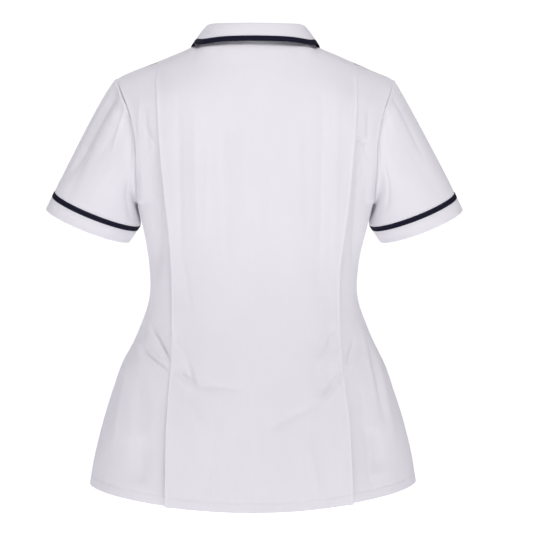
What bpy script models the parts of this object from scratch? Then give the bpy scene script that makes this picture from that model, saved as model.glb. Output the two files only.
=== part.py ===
"""A short-sleeved work tunic, standing open in the shape that a wearer fills.

The tunic is made the way it is cut: a back centre panel with a pleat edge at each side, back side
panels that run on under those pleats, two fronts that lap and button, set-in sleeves with a
contrast band above the hem, and a turned-down collar with a bound edge.

Frame: +Z up, the front faces -Y, the wearer's left is +X. The origin is where the wearer's
shoulders hold the tunic, level with the side of the neck. Sizes in the tables are millimetres.
"""

import math
from collections import namedtuple

import bmesh
import bpy
import numpy as np

MM = 0.001

# Cloth and seams
WALL = 1.2
SEAM_GAP = 0.36
PLEAT_GAP = 0.5
BAND_RISE = 0.6
HEM_RISE = 0.3
CUFF_WALL = 2.0

# Shoulder line: its height at the collar's edge and how far it falls for each millimetre outwards
SHOULDER_X = 101.0
SHOULDER_HEIGHT = -1.5
SHOULDER_FALL = 0.42

# Neckline, an oval seen from above
NECK_HALF_WIDTH = 80.0
NECK_BACK = 79.0
NECK_FRONT = 84.0
NECK_BACK_DROP = 12.0
NECK_FRONT_DROP = 96.0
NECK_FRONT_CURVE = 1.6
ROUND_NECK_STRETCH = 0.4

# Where the grid's inner line runs down the body, from the corner of the neck, and how much
# fuller than a plain curve the sides are
INNER_LINE_X = 100.0
SIDE_STRETCH = 1.12

# Pleats: how far the top fold lifts and the cloth under it sinks where a pleat stands open
PLEAT_LIFT = 2.5
PLEAT_VALLEY = 6.0
VALLEY_REACH = 0.5
LIFT_REACH = 0.6

# Fronts: the lap past the centre line, as a share of the way to the inner line
LAP = 0.17
LAP_GAP = 0.9
LAP_DROP = WALL + LAP_GAP
LAP_REACH = 0.53

# The wearer's hips: how far they stand to the wearer's left, how far they turn, and the heights
# between which the turn sets in at the waist and grows at the hem
HIP_SHIFT = 2.8
HIP_TURN = math.radians(1.3)
HEM_TURN = math.radians(1.4)
HIP_HEIGHTS = (-245.0, -385.0)
HEM_HEIGHTS = (-450.0, -700.0)

# Buttons
BUTTON_RADIUS = 7.5
BUTTON_THICKNESS = 3.0
BUTTON_TAPER = 0.92
BUTTON_SEGMENTS = 20
BUTTON_SEAT = 0.85
BUTTON_TOP = -124.0
BUTTON_STEP = 88.0
BUTTON_COUNT = 6

# Rings below the armholes, hem first. side_height is the ring's height at the side seam,
# square is the exponent of the oval (2 is an ellipse), pleat_x is where the pleat's edge lies.
Ring = namedtuple("Ring", "height side_height half_width back_depth front_depth square pleat_x")
RINGS = (
    Ring(-718, -690, 259, 129, 113, 2.30, 141.0),
    Ring(-660, -645, 251, 129, 112, 2.30, 140.0),
    Ring(-590, -582, 235, 126, 110, 2.30, 138.0),
    Ring(-535, -530, 217, 119, 107, 2.25, 133.5),
    Ring(-500, -497, 204, 113, 105, 2.20, 130.5),
    Ring(-450, -449, 182, 104, 103, 2.20, 129.0),
    Ring(-400, -399, 165.5, 98, 104, 2.20, 128.0),
    Ring(-350, -350, 166, 98, 112, 2.20, 129.0),
    Ring(-303, -303, 174.5, 105, 125, 2.25, 133.0),
    Ring(-251, -251, 187, 113, 135, 2.30, 139.0),
)
ARMPIT = len(RINGS) - 1

# Lines of the back and front above the armpits: centre line, inner line, pleat or princess line,
# and armhole edge, each given where it crosses a row
Row = namedtuple("Row", "c_y c_z n_x n_y n_z p_x p_y p_z s_x s_y s_z")
BACK_ROWS = (
    Row(118, -201, 100, 107, -201, 144.0, 88, -202, 184.5, 57, -205),
    Row(119, -149, 100, 109, -149, 149.0, 94, -151, 187.0, 69, -155),
    Row(112, -97, 102, 102, -95, 152.5, 87, -101, 196.0, 62, -112),
    Row(101.5, -55, 103, 78, -53, 155.0, 62, -66, 208.0, 45, -83),
    Row(90.5, -27, 96, 40, -15.6, 155.5, 33, -40, 216.0, 23, -63),
)
FRONT_ROWS = (
    Row(-128, -206, 100, -118, -205, 143.0, -97, -203, 180.0, -60, -205),
    Row(-113, -160, 100, -107, -157, 147.0, -90, -153, 178.0, -63, -156),
    Row(-101, -129, 101, -91, -108, 151.0, -77, -106, 186.0, -53, -113),
    Row(-92, -107, 102, -66, -63, 154.0, -55, -69, 200.0, -38, -83),
    Row(-87, -95, 96, -33, -20, 155.5, -29, -42, 213.0, -20, -63),
)
TOP = ARMPIT + len(BACK_ROWS) + 1
SHOULDER_TIP_X = 219.0
PLEAT_TOP_X = 155.5

# How far a pleat stands open down its length, 0 where it is stitched shut
Opening = namedtuple("Opening", "height share")
OPENINGS = (
    Opening(-718, 1.0),
    Opening(-650, 0.95),
    Opening(-580, 0.65),
    Opening(-530, 0.25),
    Opening(-503, 0.0),
    Opening(-470, 0.2),
    Opening(-440, 0.35),
    Opening(-380, 0.6),
    Opening(-310, 1.0),
    Opening(-250, 0.95),
    Opening(-200, 0.5),
    Opening(-160, 0.0),
    Opening(0, 0.0),
)

# The largest soft folds: each runs from one point to another over the face that it is on,
# as wide as its reach, with its depth outwards (a ridge) or inwards (a trough, below zero)
Fold = namedtuple("Fold", "face x0 z0 x1 z1 reach depth")
FOLDS = (
    Fold("back", 158, -440, 134, -497, 11, -3.0),
    Fold("back", 175, -452, 137, -506, 12, 2.5),
    Fold("back", 200, -478, 185, -640, 20, 3.0),
    Fold("back", 122, -452, 96, -520, 14, -2.0),
    Fold("back", 120, -508, 60, -532, 12, -2.2),
    Fold("back", -118, -440, -86, -482, 12, -2.5),
    Fold("back", -122, -508, -88, -545, 13, -2.5),
    Fold("back", -205, -490, -196, -640, 20, 2.5),
    Fold("back", 78, -90, 66, -330, 20, -2.0),
    Fold("back", -72, -120, -80, -300, 22, -1.6),
    Fold("front", 150, -330, 60, -420, 20, -2.5),
    Fold("front", -140, -330, -66, -400, 20, -2.2),
    Fold("front", 150, -470, 120, -690, 24, 3.0),
    Fold("front", -146, -480, -126, -690, 24, 2.6),
    Fold("front", 185, -212, 120, -262, 16, -2.4),
    Fold("front", -185, -212, -128, -258, 16, -2.4),
)

# How far past each of its ends a fold runs out, and the length over which it fades, as shares
# of its length
FOLD_RUN_OUT = 0.15
FOLD_FADE = 0.4

# Sleeves: the ring at the top of the contrast band and the ring at the hem
SleeveRing = namedtuple("SleeveRing", "x y z across deep")
BAND_RING = SleeveRing(252, -18, -257, 73.2, 53)
HEM_RING = SleeveRing(268, -25, -283.5, 71.5, 51)
SLEEVE_ACROSS = np.array((0.926, 0.0, 0.378))
SLEEVE_DOWN = np.array((0.369, -0.217, -0.904))
BAND_SHARE = 0.27
SLEEVE_ROWS = (0.0, 0.035, 0.09, 0.17, 0.28, 0.41, 0.55, 0.70, 0.85, 1.0)

# How far each sleeve's cap rounds outwards before it falls, as a share of its length
CAP_PULL = {"left": 0.24, "right": 0.06}
ARMPIT_PULL = 0.40
ARMPIT_OUT = 0.9
BAND_PULL = 0.8
UNDERARM_HEIGHTS = (-130.0, -240.0)

# Folds of a sleeve: where each lies round it, in degrees from its outer side through the back,
# and down it, as a share of its length, with the reach each way and its depth outwards
SleeveFold = namedtuple("SleeveFold", "turn turn_reach share share_reach depth")
SLEEVE_FOLDS = (
    SleeveFold(85, 40, 0.16, 0.10, -5.0),
    SleeveFold(44, 15, 0.25, 0.25, 3.5),
    SleeveFold(275, 40, 0.16, 0.10, -4.0),
)
SLEEVE_FOLD_START = 0.1

# Collar: at an angle round the neck from the centre back, where its fold and its edge lie
CollarRow = namedtuple("CollarRow", "angle fold_x fold_y fold_z edge_x edge_y edge_z")
COLLAR_ROWS = (
    CollarRow(0, 0, 67, 25, 0, 87.5, -5.5),
    CollarRow(30, 41, 58.5, 26, 51.5, 78, -5.2),
    CollarRow(60, 68, 35, 29, 86, 49.5, -5),
    CollarRow(90, 77, 2, 29, 100.5, 4, 1.1),
    CollarRow(112, 73, -28, 14, 104, -36, -14),
    CollarRow(135, 59, -56, -12, 94, -72, -56),
    CollarRow(157, 35, -78, -46, 70, -102, -108),
    CollarRow(176, 6, -88, -76, 40, -115, -150),
)
STAND_INSET = 2.9
STAND_INSET_AT_LAP = 6.4
LAP_ANGLE = 135.0
STAND_LAP = 3.0
FOLD_RADIUS = 2.4
FOLD_EASE = 1.6
FOLD_INWARD = 0.3
FOLD_OUTWARD = 0.9
FALL_BELLY = 2.0
TRIM_WIDTH = 9.8
TRIM_WALL = 1.9

# Grid density of the solids
ROWS_PER_RING = 2
BACK_COLUMNS = (0, 0.2, 0.4, 0.6, 0.8, 1, 1.4, 1.7, 2, 2.12, 2.26, 2.42, 2.58, 2.72, 2.86, 3)
FRONT_COLUMNS = (-LAP, 0, LAP, 0.36, 0.53, 0.69, 0.85, 1, 1.5, 2, 2.14, 2.3, 2.48, 2.66, 2.84, 3)
UNDERLAY_COLUMN = 1.4
PLEAT_COLUMN = 2
COLLAR_ANGLE_STEPS = 14
COLLAR_SECTION = (0, 1, 2, 2.5, 3, 3.5, 4, 5)

SHARP_ANGLE = math.radians(50)

# Finishes: base colour and roughness
WHITE = ((0.80, 0.79, 0.82, 1.0), 0.85)
NAVY = ((0.022, 0.022, 0.052, 1.0), 0.8)
BUTTON_WHITE = ((0.82, 0.82, 0.83, 1.0), 0.35)


def unit(vectors):
    """The same vectors, each one long."""
    length = np.linalg.norm(vectors, axis=-1, keepdims=True)
    return vectors / np.maximum(length, 1e-9)


def smooth_step(value):
    """0 below 0, 1 above 1, and a soft rise between."""
    value = np.clip(value, 0.0, 1.0)
    return value * value * (3 - 2 * value)


def spline(knots, at, before=None, after=None):
    """A smooth curve through the knots, read at the given positions. before and after are
    the knots that lie past its ends, where the curve has neighbours there."""
    knots = np.asarray(knots, float)
    before = 2 * knots[0] - knots[1] if before is None else before
    after = 2 * knots[-1] - knots[-2] if after is None else after
    padded = np.concatenate(([before], knots, [after]))
    at = np.asarray(at, float)
    step = np.clip(np.floor(at).astype(int), 0, len(knots) - 2)
    f = (at - step).reshape(at.shape + (1,) * (knots.ndim - 1))
    a, b, c, d = (padded[step + k] for k in range(4))
    return b + 0.5 * f * (c - a + f * (2 * a - 5 * b + 4 * c - d + f * (3 * (b - c) + d - a)))


def hermite(start, end, start_pull, end_pull, f):
    """A curve from start to end that leaves and arrives along the two pulls."""
    return (
        start * (2 * f**3 - 3 * f**2 + 1)
        + start_pull * (f**3 - 2 * f**2 + f)
        + end * (3 * f**2 - 2 * f**3)
        + end_pull * (f**3 - f**2)
    )


def shoulder_height(x):
    """The height of the shoulder line at a distance from the centre."""
    return SHOULDER_HEIGHT - SHOULDER_FALL * (x - SHOULDER_X)


def neckline(angle):
    """The neckline at angles in radians from the centre back: an oval that dips at the front."""
    angle = np.asarray(angle, float)
    turn = np.cos(angle)
    depth = np.where(turn > 0, NECK_BACK, NECK_FRONT)
    drop = np.where(turn > 0, NECK_BACK_DROP * turn**2, NECK_FRONT_DROP * np.abs(turn) ** NECK_FRONT_CURVE)
    top = shoulder_height(NECK_HALF_WIDTH)
    return np.stack((NECK_HALF_WIDTH * np.sin(angle), depth * turn, top - drop), axis=-1)


def ring_lines(ring, face):
    """The four line points of a ring: centre, inner line, pleat line and side seam."""
    depth = ring.back_depth if face == "back" else -ring.front_depth

    def on_oval(x):
        share = abs(x) / ring.half_width
        rise = (ring.side_height - ring.height) * share**2
        return (x, depth * (1 - share**ring.square) ** (1 / ring.square), ring.height + rise)

    return [on_oval(x) for x in (0.0, INNER_LINE_X, ring.pleat_x, ring.half_width)]


def row_lines(row):
    """The same four line points of a row above the armpits."""
    return [
        (0.0, row.c_y, row.c_z),
        (row.n_x, row.n_y, row.n_z),
        (row.p_x, row.p_y, row.p_z),
        (row.s_x, row.s_y, row.s_z),
    ]


def face_lines(face):
    """All the rows of one face, from the hem to the shoulder seam."""
    rows = BACK_ROWS if face == "back" else FRONT_ROWS
    centre = neckline(0.0 if face == "back" else math.pi)
    corner = neckline(math.pi / 2)
    top = [centre, corner]
    top += [(x, 0.0, shoulder_height(x)) for x in (PLEAT_TOP_X, SHOULDER_TIP_X)]
    lines = [ring_lines(ring, face) for ring in RINGS] + [row_lines(row) for row in rows] + [top]
    return np.array(lines, float)


def face_grid(face, columns, rows):
    """The outer points of one face's half at x above 0, a row for each height. A column runs
    from 0 on the centre line through 1 on the inner line and 2 on the pleat line to 3."""
    rows = np.asarray(rows, float)
    columns = np.asarray(columns, float)
    lines = face_lines(face)
    other = face_lines("front" if face == "back" else "back")
    at_rows = spline(lines, rows)
    armhole = spline(
        lines[ARMPIT:, 3], rows - ARMPIT, before=other[ARMPIT + 1, 3], after=other[TOP - 1, 3]
    )
    side = spline(lines[: ARMPIT + 1, 3], rows)
    at_rows[:, 3] = np.where((rows <= ARMPIT)[:, None], side, armhole)
    centre, inner, pleat, edge = (at_rows[:, k] for k in range(4))
    mirrored = inner * (-1, 1, 1)

    legs = [inner - centre, pleat - inner, edge - pleat]
    length = [np.linalg.norm(leg, axis=-1, keepdims=True) for leg in legs]
    at_centre = unit(inner - mirrored)
    at_inner = unit(unit(legs[0]) * length[1] + unit(legs[1]) * length[0])
    at_pleat = unit(unit(legs[1]) * length[2] + unit(legs[2]) * length[1])
    forwards = np.array((0.0, -1.0 if face == "back" else 1.0, 0.0))
    free = unit(2 * unit(legs[2]) - at_pleat)
    round_neck = smooth_step((rows - TOP + 2) / 2)[:, None]
    above = smooth_step(rows - ARMPIT)[:, None]
    at_edge = unit(forwards * (1 - above) + free * above)

    fuller = 1 + ROUND_NECK_STRETCH * round_neck
    at_corner = unit(at_inner * (1 - round_neck) + forwards * round_neck) * fuller
    at_centre = at_centre * fuller
    pulls = [(at_centre, at_corner), (at_inner, at_pleat), (at_pleat, at_edge)]
    ends = [(centre, inner), (inner, pleat), (pleat, edge)]
    grid = np.zeros((len(rows), len(columns), 3))
    for k, column in enumerate(columns):
        leg = int(min(max(math.floor(abs(column)), 0), 2))
        f = abs(column) - leg
        stretch = length[leg] * (SIDE_STRETCH if leg == 2 else 1.0)
        grid[:, k] = hermite(*ends[leg], pulls[leg][0] * stretch, pulls[leg][1] * stretch, f)
        angle = abs(column) * math.pi / 2
        rim = neckline(angle if face == "back" else math.pi - angle)
        straight = ends[leg][0] * (1 - f) + ends[leg][1] * f
        share = smooth_step(rows - (TOP - 1))[:, None]
        grid[:, k] = grid[:, k] * (1 - share) + (rim if leg == 0 else straight) * share
        if column < 0:
            grid[:, k, 0] *= -1
    return grid


def grid_normals(grid, closed=False):
    """Normals at a grid's points, not yet one long, each the sum of those of the faces around
    it. They face the viewer who sees the columns run to the right as the rows go up."""
    if closed:
        grid = np.concatenate((grid, grid[:, :1]), axis=1)
    across = grid[:-1, 1:] - grid[1:, :-1]
    along = grid[1:, 1:] - grid[:-1, :-1]
    faces = np.cross(across, along)
    total = np.zeros(grid.shape)
    for rows in (slice(0, -1), slice(1, None)):
        for columns in (slice(0, -1), slice(1, None)):
            total[rows, columns] += faces
    if closed:
        total[:, 0] += total[:, -1]
        total = total[:, :-1]
    return total


def torso(rows):
    """The outer grids of both faces' halves and their normals, which agree along shared seams."""
    back = face_grid("back", BACK_COLUMNS, rows)
    front = face_grid("front", FRONT_COLUMNS, rows)
    back_normal = -grid_normals(back)
    front_normal = grid_normals(front)
    lap = FRONT_COLUMNS.index(0)
    back_normal[:, 0, 0] = 0
    front_normal[:, lap, 0] = 0
    front_normal[:, :lap] = front_normal[:, 2 * lap : lap : -1] * (-1, 1, 1)
    below = np.asarray(rows) <= ARMPIT
    seam = back_normal[below, -1] + front_normal[below, -1]
    back_normal[below, -1] = seam
    front_normal[below, -1] = seam
    shoulder = np.array((SHOULDER_FALL, 0.0, 1.0))
    back_normal[-1, BACK_COLUMNS.index(1) :] = shoulder
    front_normal[-1, FRONT_COLUMNS.index(1) :] = shoulder
    return back, unit(back_normal), front, unit(front_normal)


def opening_share(height):
    """How far the pleats stand open at a height."""
    table = np.array(OPENINGS)
    return np.interp(height, table[:, 0], table[:, 1])


def fold_relief(points, face):
    """How far the large folds move each point outwards."""
    relief = np.zeros(points.shape[:2])
    x, z = points[..., 0], points[..., 2]
    for fold in FOLDS:
        if fold.face != face:
            continue
        run = np.array((fold.x1 - fold.x0, fold.z1 - fold.z0))
        length = np.linalg.norm(run)
        along = ((x - fold.x0) * run[0] + (z - fold.z0) * run[1]) / length**2
        off = ((x - fold.x0) * run[1] - (z - fold.z0) * run[0]) / length
        ends = smooth_step((along + FOLD_RUN_OUT) / FOLD_FADE)
        ends *= smooth_step((1 + FOLD_RUN_OUT - along) / FOLD_FADE)
        relief += fold.depth * ends * np.exp(-((off / fold.reach) ** 2))
    return relief


def moved(points, normals, distance):
    """Points moved along their normals."""
    return points + normals * np.asarray(distance)[..., None]


def inset(points, first_row=0, last_row=0, first_column=0, last_column=0):
    """A grid whose outermost rows and columns are drawn in by the given distances."""
    grid = points.copy()
    if first_row:
        grid[0] += unit(points[1] - points[0]) * first_row
    if last_row:
        grid[-1] += unit(points[-2] - points[-1]) * last_row
    if first_column:
        grid[:, 0] += unit(points[:, 1] - points[:, 0]) * first_column
    if last_column:
        grid[:, -1] += unit(points[:, -2] - points[:, -1]) * last_column
    return grid


def hips_turned(points):
    """Points of the body of the tunic, moved and turned with the wearer's hips."""
    height = points[..., 2]

    def share(heights):
        return smooth_step((heights[0] - height) / (heights[0] - heights[1]))

    turn = HIP_TURN * share(HIP_HEIGHTS) + HEM_TURN * share(HEM_HEIGHTS)
    x = points[..., 0] * np.cos(turn) - points[..., 1] * np.sin(turn)
    y = points[..., 0] * np.sin(turn) + points[..., 1] * np.cos(turn)
    return np.stack((x + HIP_SHIFT * share(HIP_HEIGHTS), y, height), axis=-1)


def make_material(name, look):
    """A plain cloth or plastic finish."""
    colour, roughness = look
    material = bpy.data.materials.new(name)
    material.use_nodes = True
    shader = material.node_tree.nodes["Principled BSDF"]
    shader.inputs["Base Color"].default_value = colour
    shader.inputs["Roughness"].default_value = roughness
    material.diffuse_color = colour
    return material


def add_object(name, mesh, material, collection):
    """Link a mesh as a named object with its finish."""
    mesh.materials.append(material)
    made = bpy.data.objects.new(name, mesh)
    collection.objects.link(made)
    return made


def make_wall(name, outer, inner, material, collection, closed=False):
    """A closed wall between an outer grid and an inner one, with rims along its open edges.
    A closed grid goes round, so its last column joins its first."""
    rows, columns = outer.shape[:2]
    points = np.concatenate((outer.reshape(-1, 3), inner.reshape(-1, 3))) * MM
    shift = rows * columns

    def at(row, column):
        return row * columns + column % columns

    faces = []
    spans = columns if closed else columns - 1
    for row in range(rows - 1):
        for column in range(spans):
            corners = (
                at(row, column),
                at(row, column + 1),
                at(row + 1, column + 1),
                at(row + 1, column),
            )
            faces.append(corners)
            faces.append(tuple(corner + shift for corner in reversed(corners)))
    for row, turn in ((0, 1), (rows - 1, -1)):
        for column in range(spans):
            a, b = at(row, column), at(row, column + 1)
            faces.append((a, a + shift, b + shift, b)[::turn])
    if not closed:
        for column, turn in ((0, -1), (columns - 1, 1)):
            for row in range(rows - 1):
                a, b = at(row, column), at(row + 1, column)
                faces.append((a, a + shift, b + shift, b)[::turn])

    mesh = bpy.data.meshes.new(name)
    mesh.from_pydata(points.tolist(), [], faces)
    shape = bmesh.new()
    shape.from_mesh(mesh)
    bmesh.ops.recalc_face_normals(shape, faces=shape.faces)
    shape.to_mesh(mesh)
    shape.free()
    mesh.shade_smooth()
    mesh.set_sharp_from_angle(angle=SHARP_ANGLE)
    return add_object(name, mesh, material, collection)


def make_back(back, normals, cloth, collection):
    """The back centre panel and the side panels that run under its pleats."""
    pleat = BACK_COLUMNS.index(PLEAT_COLUMN)
    under = BACK_COLUMNS.index(UNDERLAY_COLUMN)
    columns = np.array(BACK_COLUMNS)
    share = opening_share(back[..., 2])

    near_edge = smooth_step((columns - PLEAT_COLUMN + LIFT_REACH) / LIFT_REACH)
    lift = PLEAT_LIFT * share * near_edge
    half = slice(0, pleat + 1)
    sides = []
    for sign in (1, -1):
        points = back[:, half] * (sign, 1, 1)
        facing = normals[:, half] * (sign, 1, 1)
        rise = lift[:, half] + fold_relief(points, "back")
        sides.append((moved(points, facing, rise), moved(points, facing, rise - WALL)))
    outer, inner = (
        np.concatenate((sides[1][k][:, :0:-1], sides[0][k]), axis=1) for k in range(2)
    )
    gap = SEAM_GAP / 2
    edges = {"last_row": gap, "first_column": gap, "last_column": gap}
    outer, inner = (hips_turned(inset(grid, **edges)) for grid in (outer, inner))
    make_wall("back_centre", outer, inner, cloth, collection)

    away = smooth_step((columns - PLEAT_COLUMN) / VALLEY_REACH)
    drop = (WALL + PLEAT_GAP + PLEAT_VALLEY * share) * (1 - away)
    part = slice(under, None)
    for sign, side in ((1, "left"), (-1, "right")):
        points = back[:, part] * (sign, 1, 1)
        facing = normals[:, part] * (sign, 1, 1)
        rise = fold_relief(points, "back") - drop[:, part]
        edges = {"last_row": gap, "last_column": gap}
        outer = hips_turned(inset(moved(points, facing, rise), **edges))
        inner = hips_turned(inset(moved(points, facing, rise - WALL), **edges))
        make_wall(f"back_side_{side}", outer, inner, cloth, collection)


def make_fronts(front, normals, cloth, collection):
    """The two fronts. The wearer's right front laps over the left one."""
    columns = np.array(FRONT_COLUMNS)
    gap = SEAM_GAP / 2
    for sign, side, under in ((1, "left", True), (-1, "right", False)):
        points = front * (sign, 1, 1)
        facing = normals * (sign, 1, 1)
        sink = LAP_DROP * (1 - smooth_step((columns - LAP) / (LAP_REACH - LAP))) if under else 0
        rise = fold_relief(points, "front") * smooth_step(columns / LAP_REACH) - sink
        edges = {"last_row": gap, "last_column": gap}
        outer = hips_turned(inset(moved(points, facing, rise), **edges))
        inner = hips_turned(inset(moved(points, facing, rise - WALL), **edges))
        make_wall(f"front_{side}", outer, inner, cloth, collection)


def armhole_loop(back, back_normals, front, front_normals):
    """The armhole's points and their normals, from the shoulder down the back, up the front."""
    first = ARMPIT * ROWS_PER_RING
    points = np.concatenate((back[:first:-1, -1], front[first:-1, -1]))
    facing = np.concatenate((back_normals[:first:-1, -1], front_normals[first:-1, -1]))
    return points, facing


def sleeve_ring(ring, angles):
    """Points round a sleeve, at angles from its outer side through the back."""
    behind = unit(np.cross(SLEEVE_ACROSS, SLEEVE_DOWN))
    centre = np.array((ring.x, ring.y, ring.z))
    around = SLEEVE_ACROSS * np.cos(angles)[:, None] * ring.across
    return centre + around + behind * np.sin(angles)[:, None] * ring.deep


def sleeve_relief(angles, share):
    """How far the sleeve's folds move each point of a ring outwards."""
    relief = np.zeros(len(angles))
    for fold in SLEEVE_FOLDS:
        round_it = np.exp(-(((np.degrees(angles) - fold.turn) / fold.turn_reach) ** 2))
        relief += fold.depth * round_it * math.exp(-(((share - fold.share) / fold.share_reach) ** 2))
    return relief * smooth_step(share / SLEEVE_FOLD_START)


def sleeve_grid(loop, facing, cap_pull):
    """The sleeve from the armhole to the hem: rings to the band, then band and hem rings."""
    count = len(loop)
    step = np.linalg.norm(np.roll(loop, -1, axis=0) - loop, axis=1)
    half = count // 2
    walked = np.concatenate(((0.0,), np.cumsum(step)))
    down = walked[: half + 1] / walked[half]
    up = (walked[half + 1 : count] - walked[half]) / (walked[count] - walked[half])
    angles = np.concatenate((down, 1 + up)) * math.pi

    tangent = unit(np.roll(loop, -1, axis=0) - np.roll(loop, 1, axis=0))
    away = unit(np.cross(tangent, facing))
    start = loop + away * SEAM_GAP / 2
    end = sleeve_ring(BAND_RING, angles)
    hem = sleeve_ring(HEM_RING, angles)
    chord = np.linalg.norm(end - start, axis=1, keepdims=True)
    top, bottom = UNDERARM_HEIGHTS
    low = smooth_step((top - loop[:, 2]) / (top - bottom))[:, None]
    pull = cap_pull + (ARMPIT_PULL - cap_pull) * low
    leave = chord * (away * pull + np.array((ARMPIT_OUT, 0.0, 0.0)) * low)
    arrive = unit(hem - end) * chord * BAND_PULL

    rows = [hermite(start, end, leave, arrive, share) for share in SLEEVE_ROWS]
    rows += [end + (hem - end) * share for share in (BAND_SHARE, (1 + BAND_SHARE) / 2, 1.0)]
    grid = np.array(rows)
    normals = unit(-grid_normals(grid, closed=True))
    normals[0] = facing
    for row, share in enumerate(SLEEVE_ROWS):
        grid[row] = moved(grid[row], normals[row], sleeve_relief(angles, share))
    return grid, normals


def make_sleeves(loop, facing, cloth, trim, collection):
    """Both sleeves, each with its contrast band and the hem band below it."""
    band = len(SLEEVE_ROWS) - 1
    gap = SEAM_GAP / 2
    pieces = (
        ("sleeve", slice(0, band + 1), 0.0, WALL, cloth, {"last_row": gap}),
        (
            "sleeve_band",
            slice(band, band + 2),
            BAND_RISE,
            WALL + BAND_RISE,
            trim,
            {"first_row": gap, "last_row": gap},
        ),
        ("sleeve_hem", slice(band + 1, None), HEM_RISE, CUFF_WALL, cloth, {"first_row": gap}),
    )
    for turn, side in ((1, "left"), (-1, "right")):
        grid, normals = sleeve_grid(loop, facing, CAP_PULL[side])
        grid, normals = grid * (turn, 1, 1), normals * (turn, 1, 1)
        for name, part, rise, wall, material, edges in pieces:
            outer = inset(moved(grid[part], normals[part], rise), **edges)
            inner = inset(moved(grid[part], normals[part], rise - wall), **edges)
            make_wall(f"{name}_{side}", outer, inner, material, collection, closed=True)


def collar_grid():
    """The collar's middle surface: across it from the stand over the fold to the edge."""
    table = np.array(COLLAR_ROWS)
    table = np.concatenate((table[:0:-1] * (-1, -1, 1, 1, -1, 1, 1), table))
    last = len(table) - 1
    at = np.linspace(0, last, 2 * COLLAR_ANGLE_STEPS + 1)
    rows = spline(table, at)
    angle = np.radians(rows[:, 0])
    fold, edge = rows[:, 1:4], rows[:, 4:7]
    seam = neckline(np.abs(angle))
    seam[:, 0] *= np.sign(angle)
    out = unit(seam * (1, 1, 0))
    up = np.array((0.0, 0.0, 1.0))
    at_lap = smooth_step((np.abs(rows[:, 0]) - LAP_ANGLE) / (180 - LAP_ANGLE))[:, None]
    inward = STAND_INSET + (STAND_INSET_AT_LAP - STAND_INSET) * at_lap
    base = seam - out * inward - up * STAND_LAP
    fall = unit(edge - fold)
    rise = unit(fold - base)
    knots = (
        base,
        (base + fold) / 2,
        fold - (rise * FOLD_EASE + out * FOLD_INWARD) * FOLD_RADIUS,
        fold,
        fold + (fall * FOLD_EASE + out * FOLD_OUTWARD) * FOLD_RADIUS,
        (fold + edge) / 2 + out * FALL_BELLY,
        edge,
    )
    return np.array(knots)


def make_collar(cloth, trim, collection):
    """The collar and the binding along its edge."""
    knots = collar_grid()
    edge, middle = knots[-1], knots[-2]
    joint = edge + unit(middle - edge) * TRIM_WIDTH
    rows = np.concatenate((spline(knots, COLLAR_SECTION), [joint], [edge]))
    normals = unit(grid_normals(rows))
    gap = SEAM_GAP / 2
    pieces = (
        ("collar", slice(0, -1), WALL, cloth, {"last_row": gap}),
        ("collar_trim", slice(-2, None), TRIM_WALL, trim, {"first_row": gap}),
    )
    for name, part, wall, material, edges in pieces:
        outer = inset(moved(rows[part], normals[part], wall / 2), **edges)
        inner = inset(moved(rows[part], normals[part], -wall / 2), **edges)
        make_wall(name, outer, inner, material, collection)


def make_buttons(front, normals, plastic, collection):
    """A row of buttons down the centre of the front that laps over."""
    centre = FRONT_COLUMNS.index(0)
    line, facing = front[:, centre], normals[:, centre]
    for count in range(BUTTON_COUNT):
        height = BUTTON_TOP - BUTTON_STEP * count
        spot = np.array([np.interp(height, line[:, 2], line[:, k]) for k in range(3)])
        out = unit(np.array([np.interp(height, line[:, 2], facing[:, k]) for k in range(3)]))
        name = f"button_{count + 1}"
        mesh = bpy.data.meshes.new(name)
        shape = bmesh.new()
        bmesh.ops.create_cone(
            shape,
            cap_ends=True,
            segments=BUTTON_SEGMENTS,
            radius1=BUTTON_RADIUS * MM,
            radius2=BUTTON_RADIUS * BUTTON_TAPER * MM,
            depth=BUTTON_THICKNESS * MM,
        )
        shape.to_mesh(mesh)
        shape.free()
        button = add_object(name, mesh, plastic, collection)
        seat = hips_turned(spot + out * (BUTTON_SEAT + BUTTON_THICKNESS / 2))
        ahead = hips_turned(spot + out * (BUTTON_SEAT + BUTTON_THICKNESS / 2 + 1)) - seat
        button.location = tuple(seat * MM)
        button.rotation_euler = (math.acos(ahead[2]), 0.0, math.atan2(ahead[0], -ahead[1]))


def main():
    """Build every piece of the tunic."""
    for old in list(bpy.data.objects):
        bpy.data.objects.remove(old, do_unlink=True)
    collection = bpy.data.collections.new("work_tunic")
    bpy.context.scene.collection.children.link(collection)
    cloth = make_material("white_cloth", WHITE)
    trim = make_material("navy_cloth", NAVY)
    plastic = make_material("button_plastic", BUTTON_WHITE)

    rows = np.linspace(0, TOP, TOP * ROWS_PER_RING + 1)
    back, back_normals, front, front_normals = torso(rows)
    make_back(back, back_normals, cloth, collection)
    make_fronts(front, front_normals, cloth, collection)
    loop, facing = armhole_loop(back, back_normals, front, front_normals)
    make_sleeves(loop, facing, cloth, trim, collection)
    make_collar(cloth, trim, collection)
    make_buttons(front, front_normals, plastic, collection)


main()
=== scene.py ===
"""The looks of a short-sleeved work tunic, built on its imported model: every cloth piece as a thin
shell with its creases, the stitching, the buttons, the finishes and a plain studio.

The form functions repeat the ones that shape the solids, on a finer grid. Tables are millimetres.
"""

import math
from collections import namedtuple
from functools import lru_cache

import bmesh
import bpy
import numpy as np
from mathutils import Matrix, Vector


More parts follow.
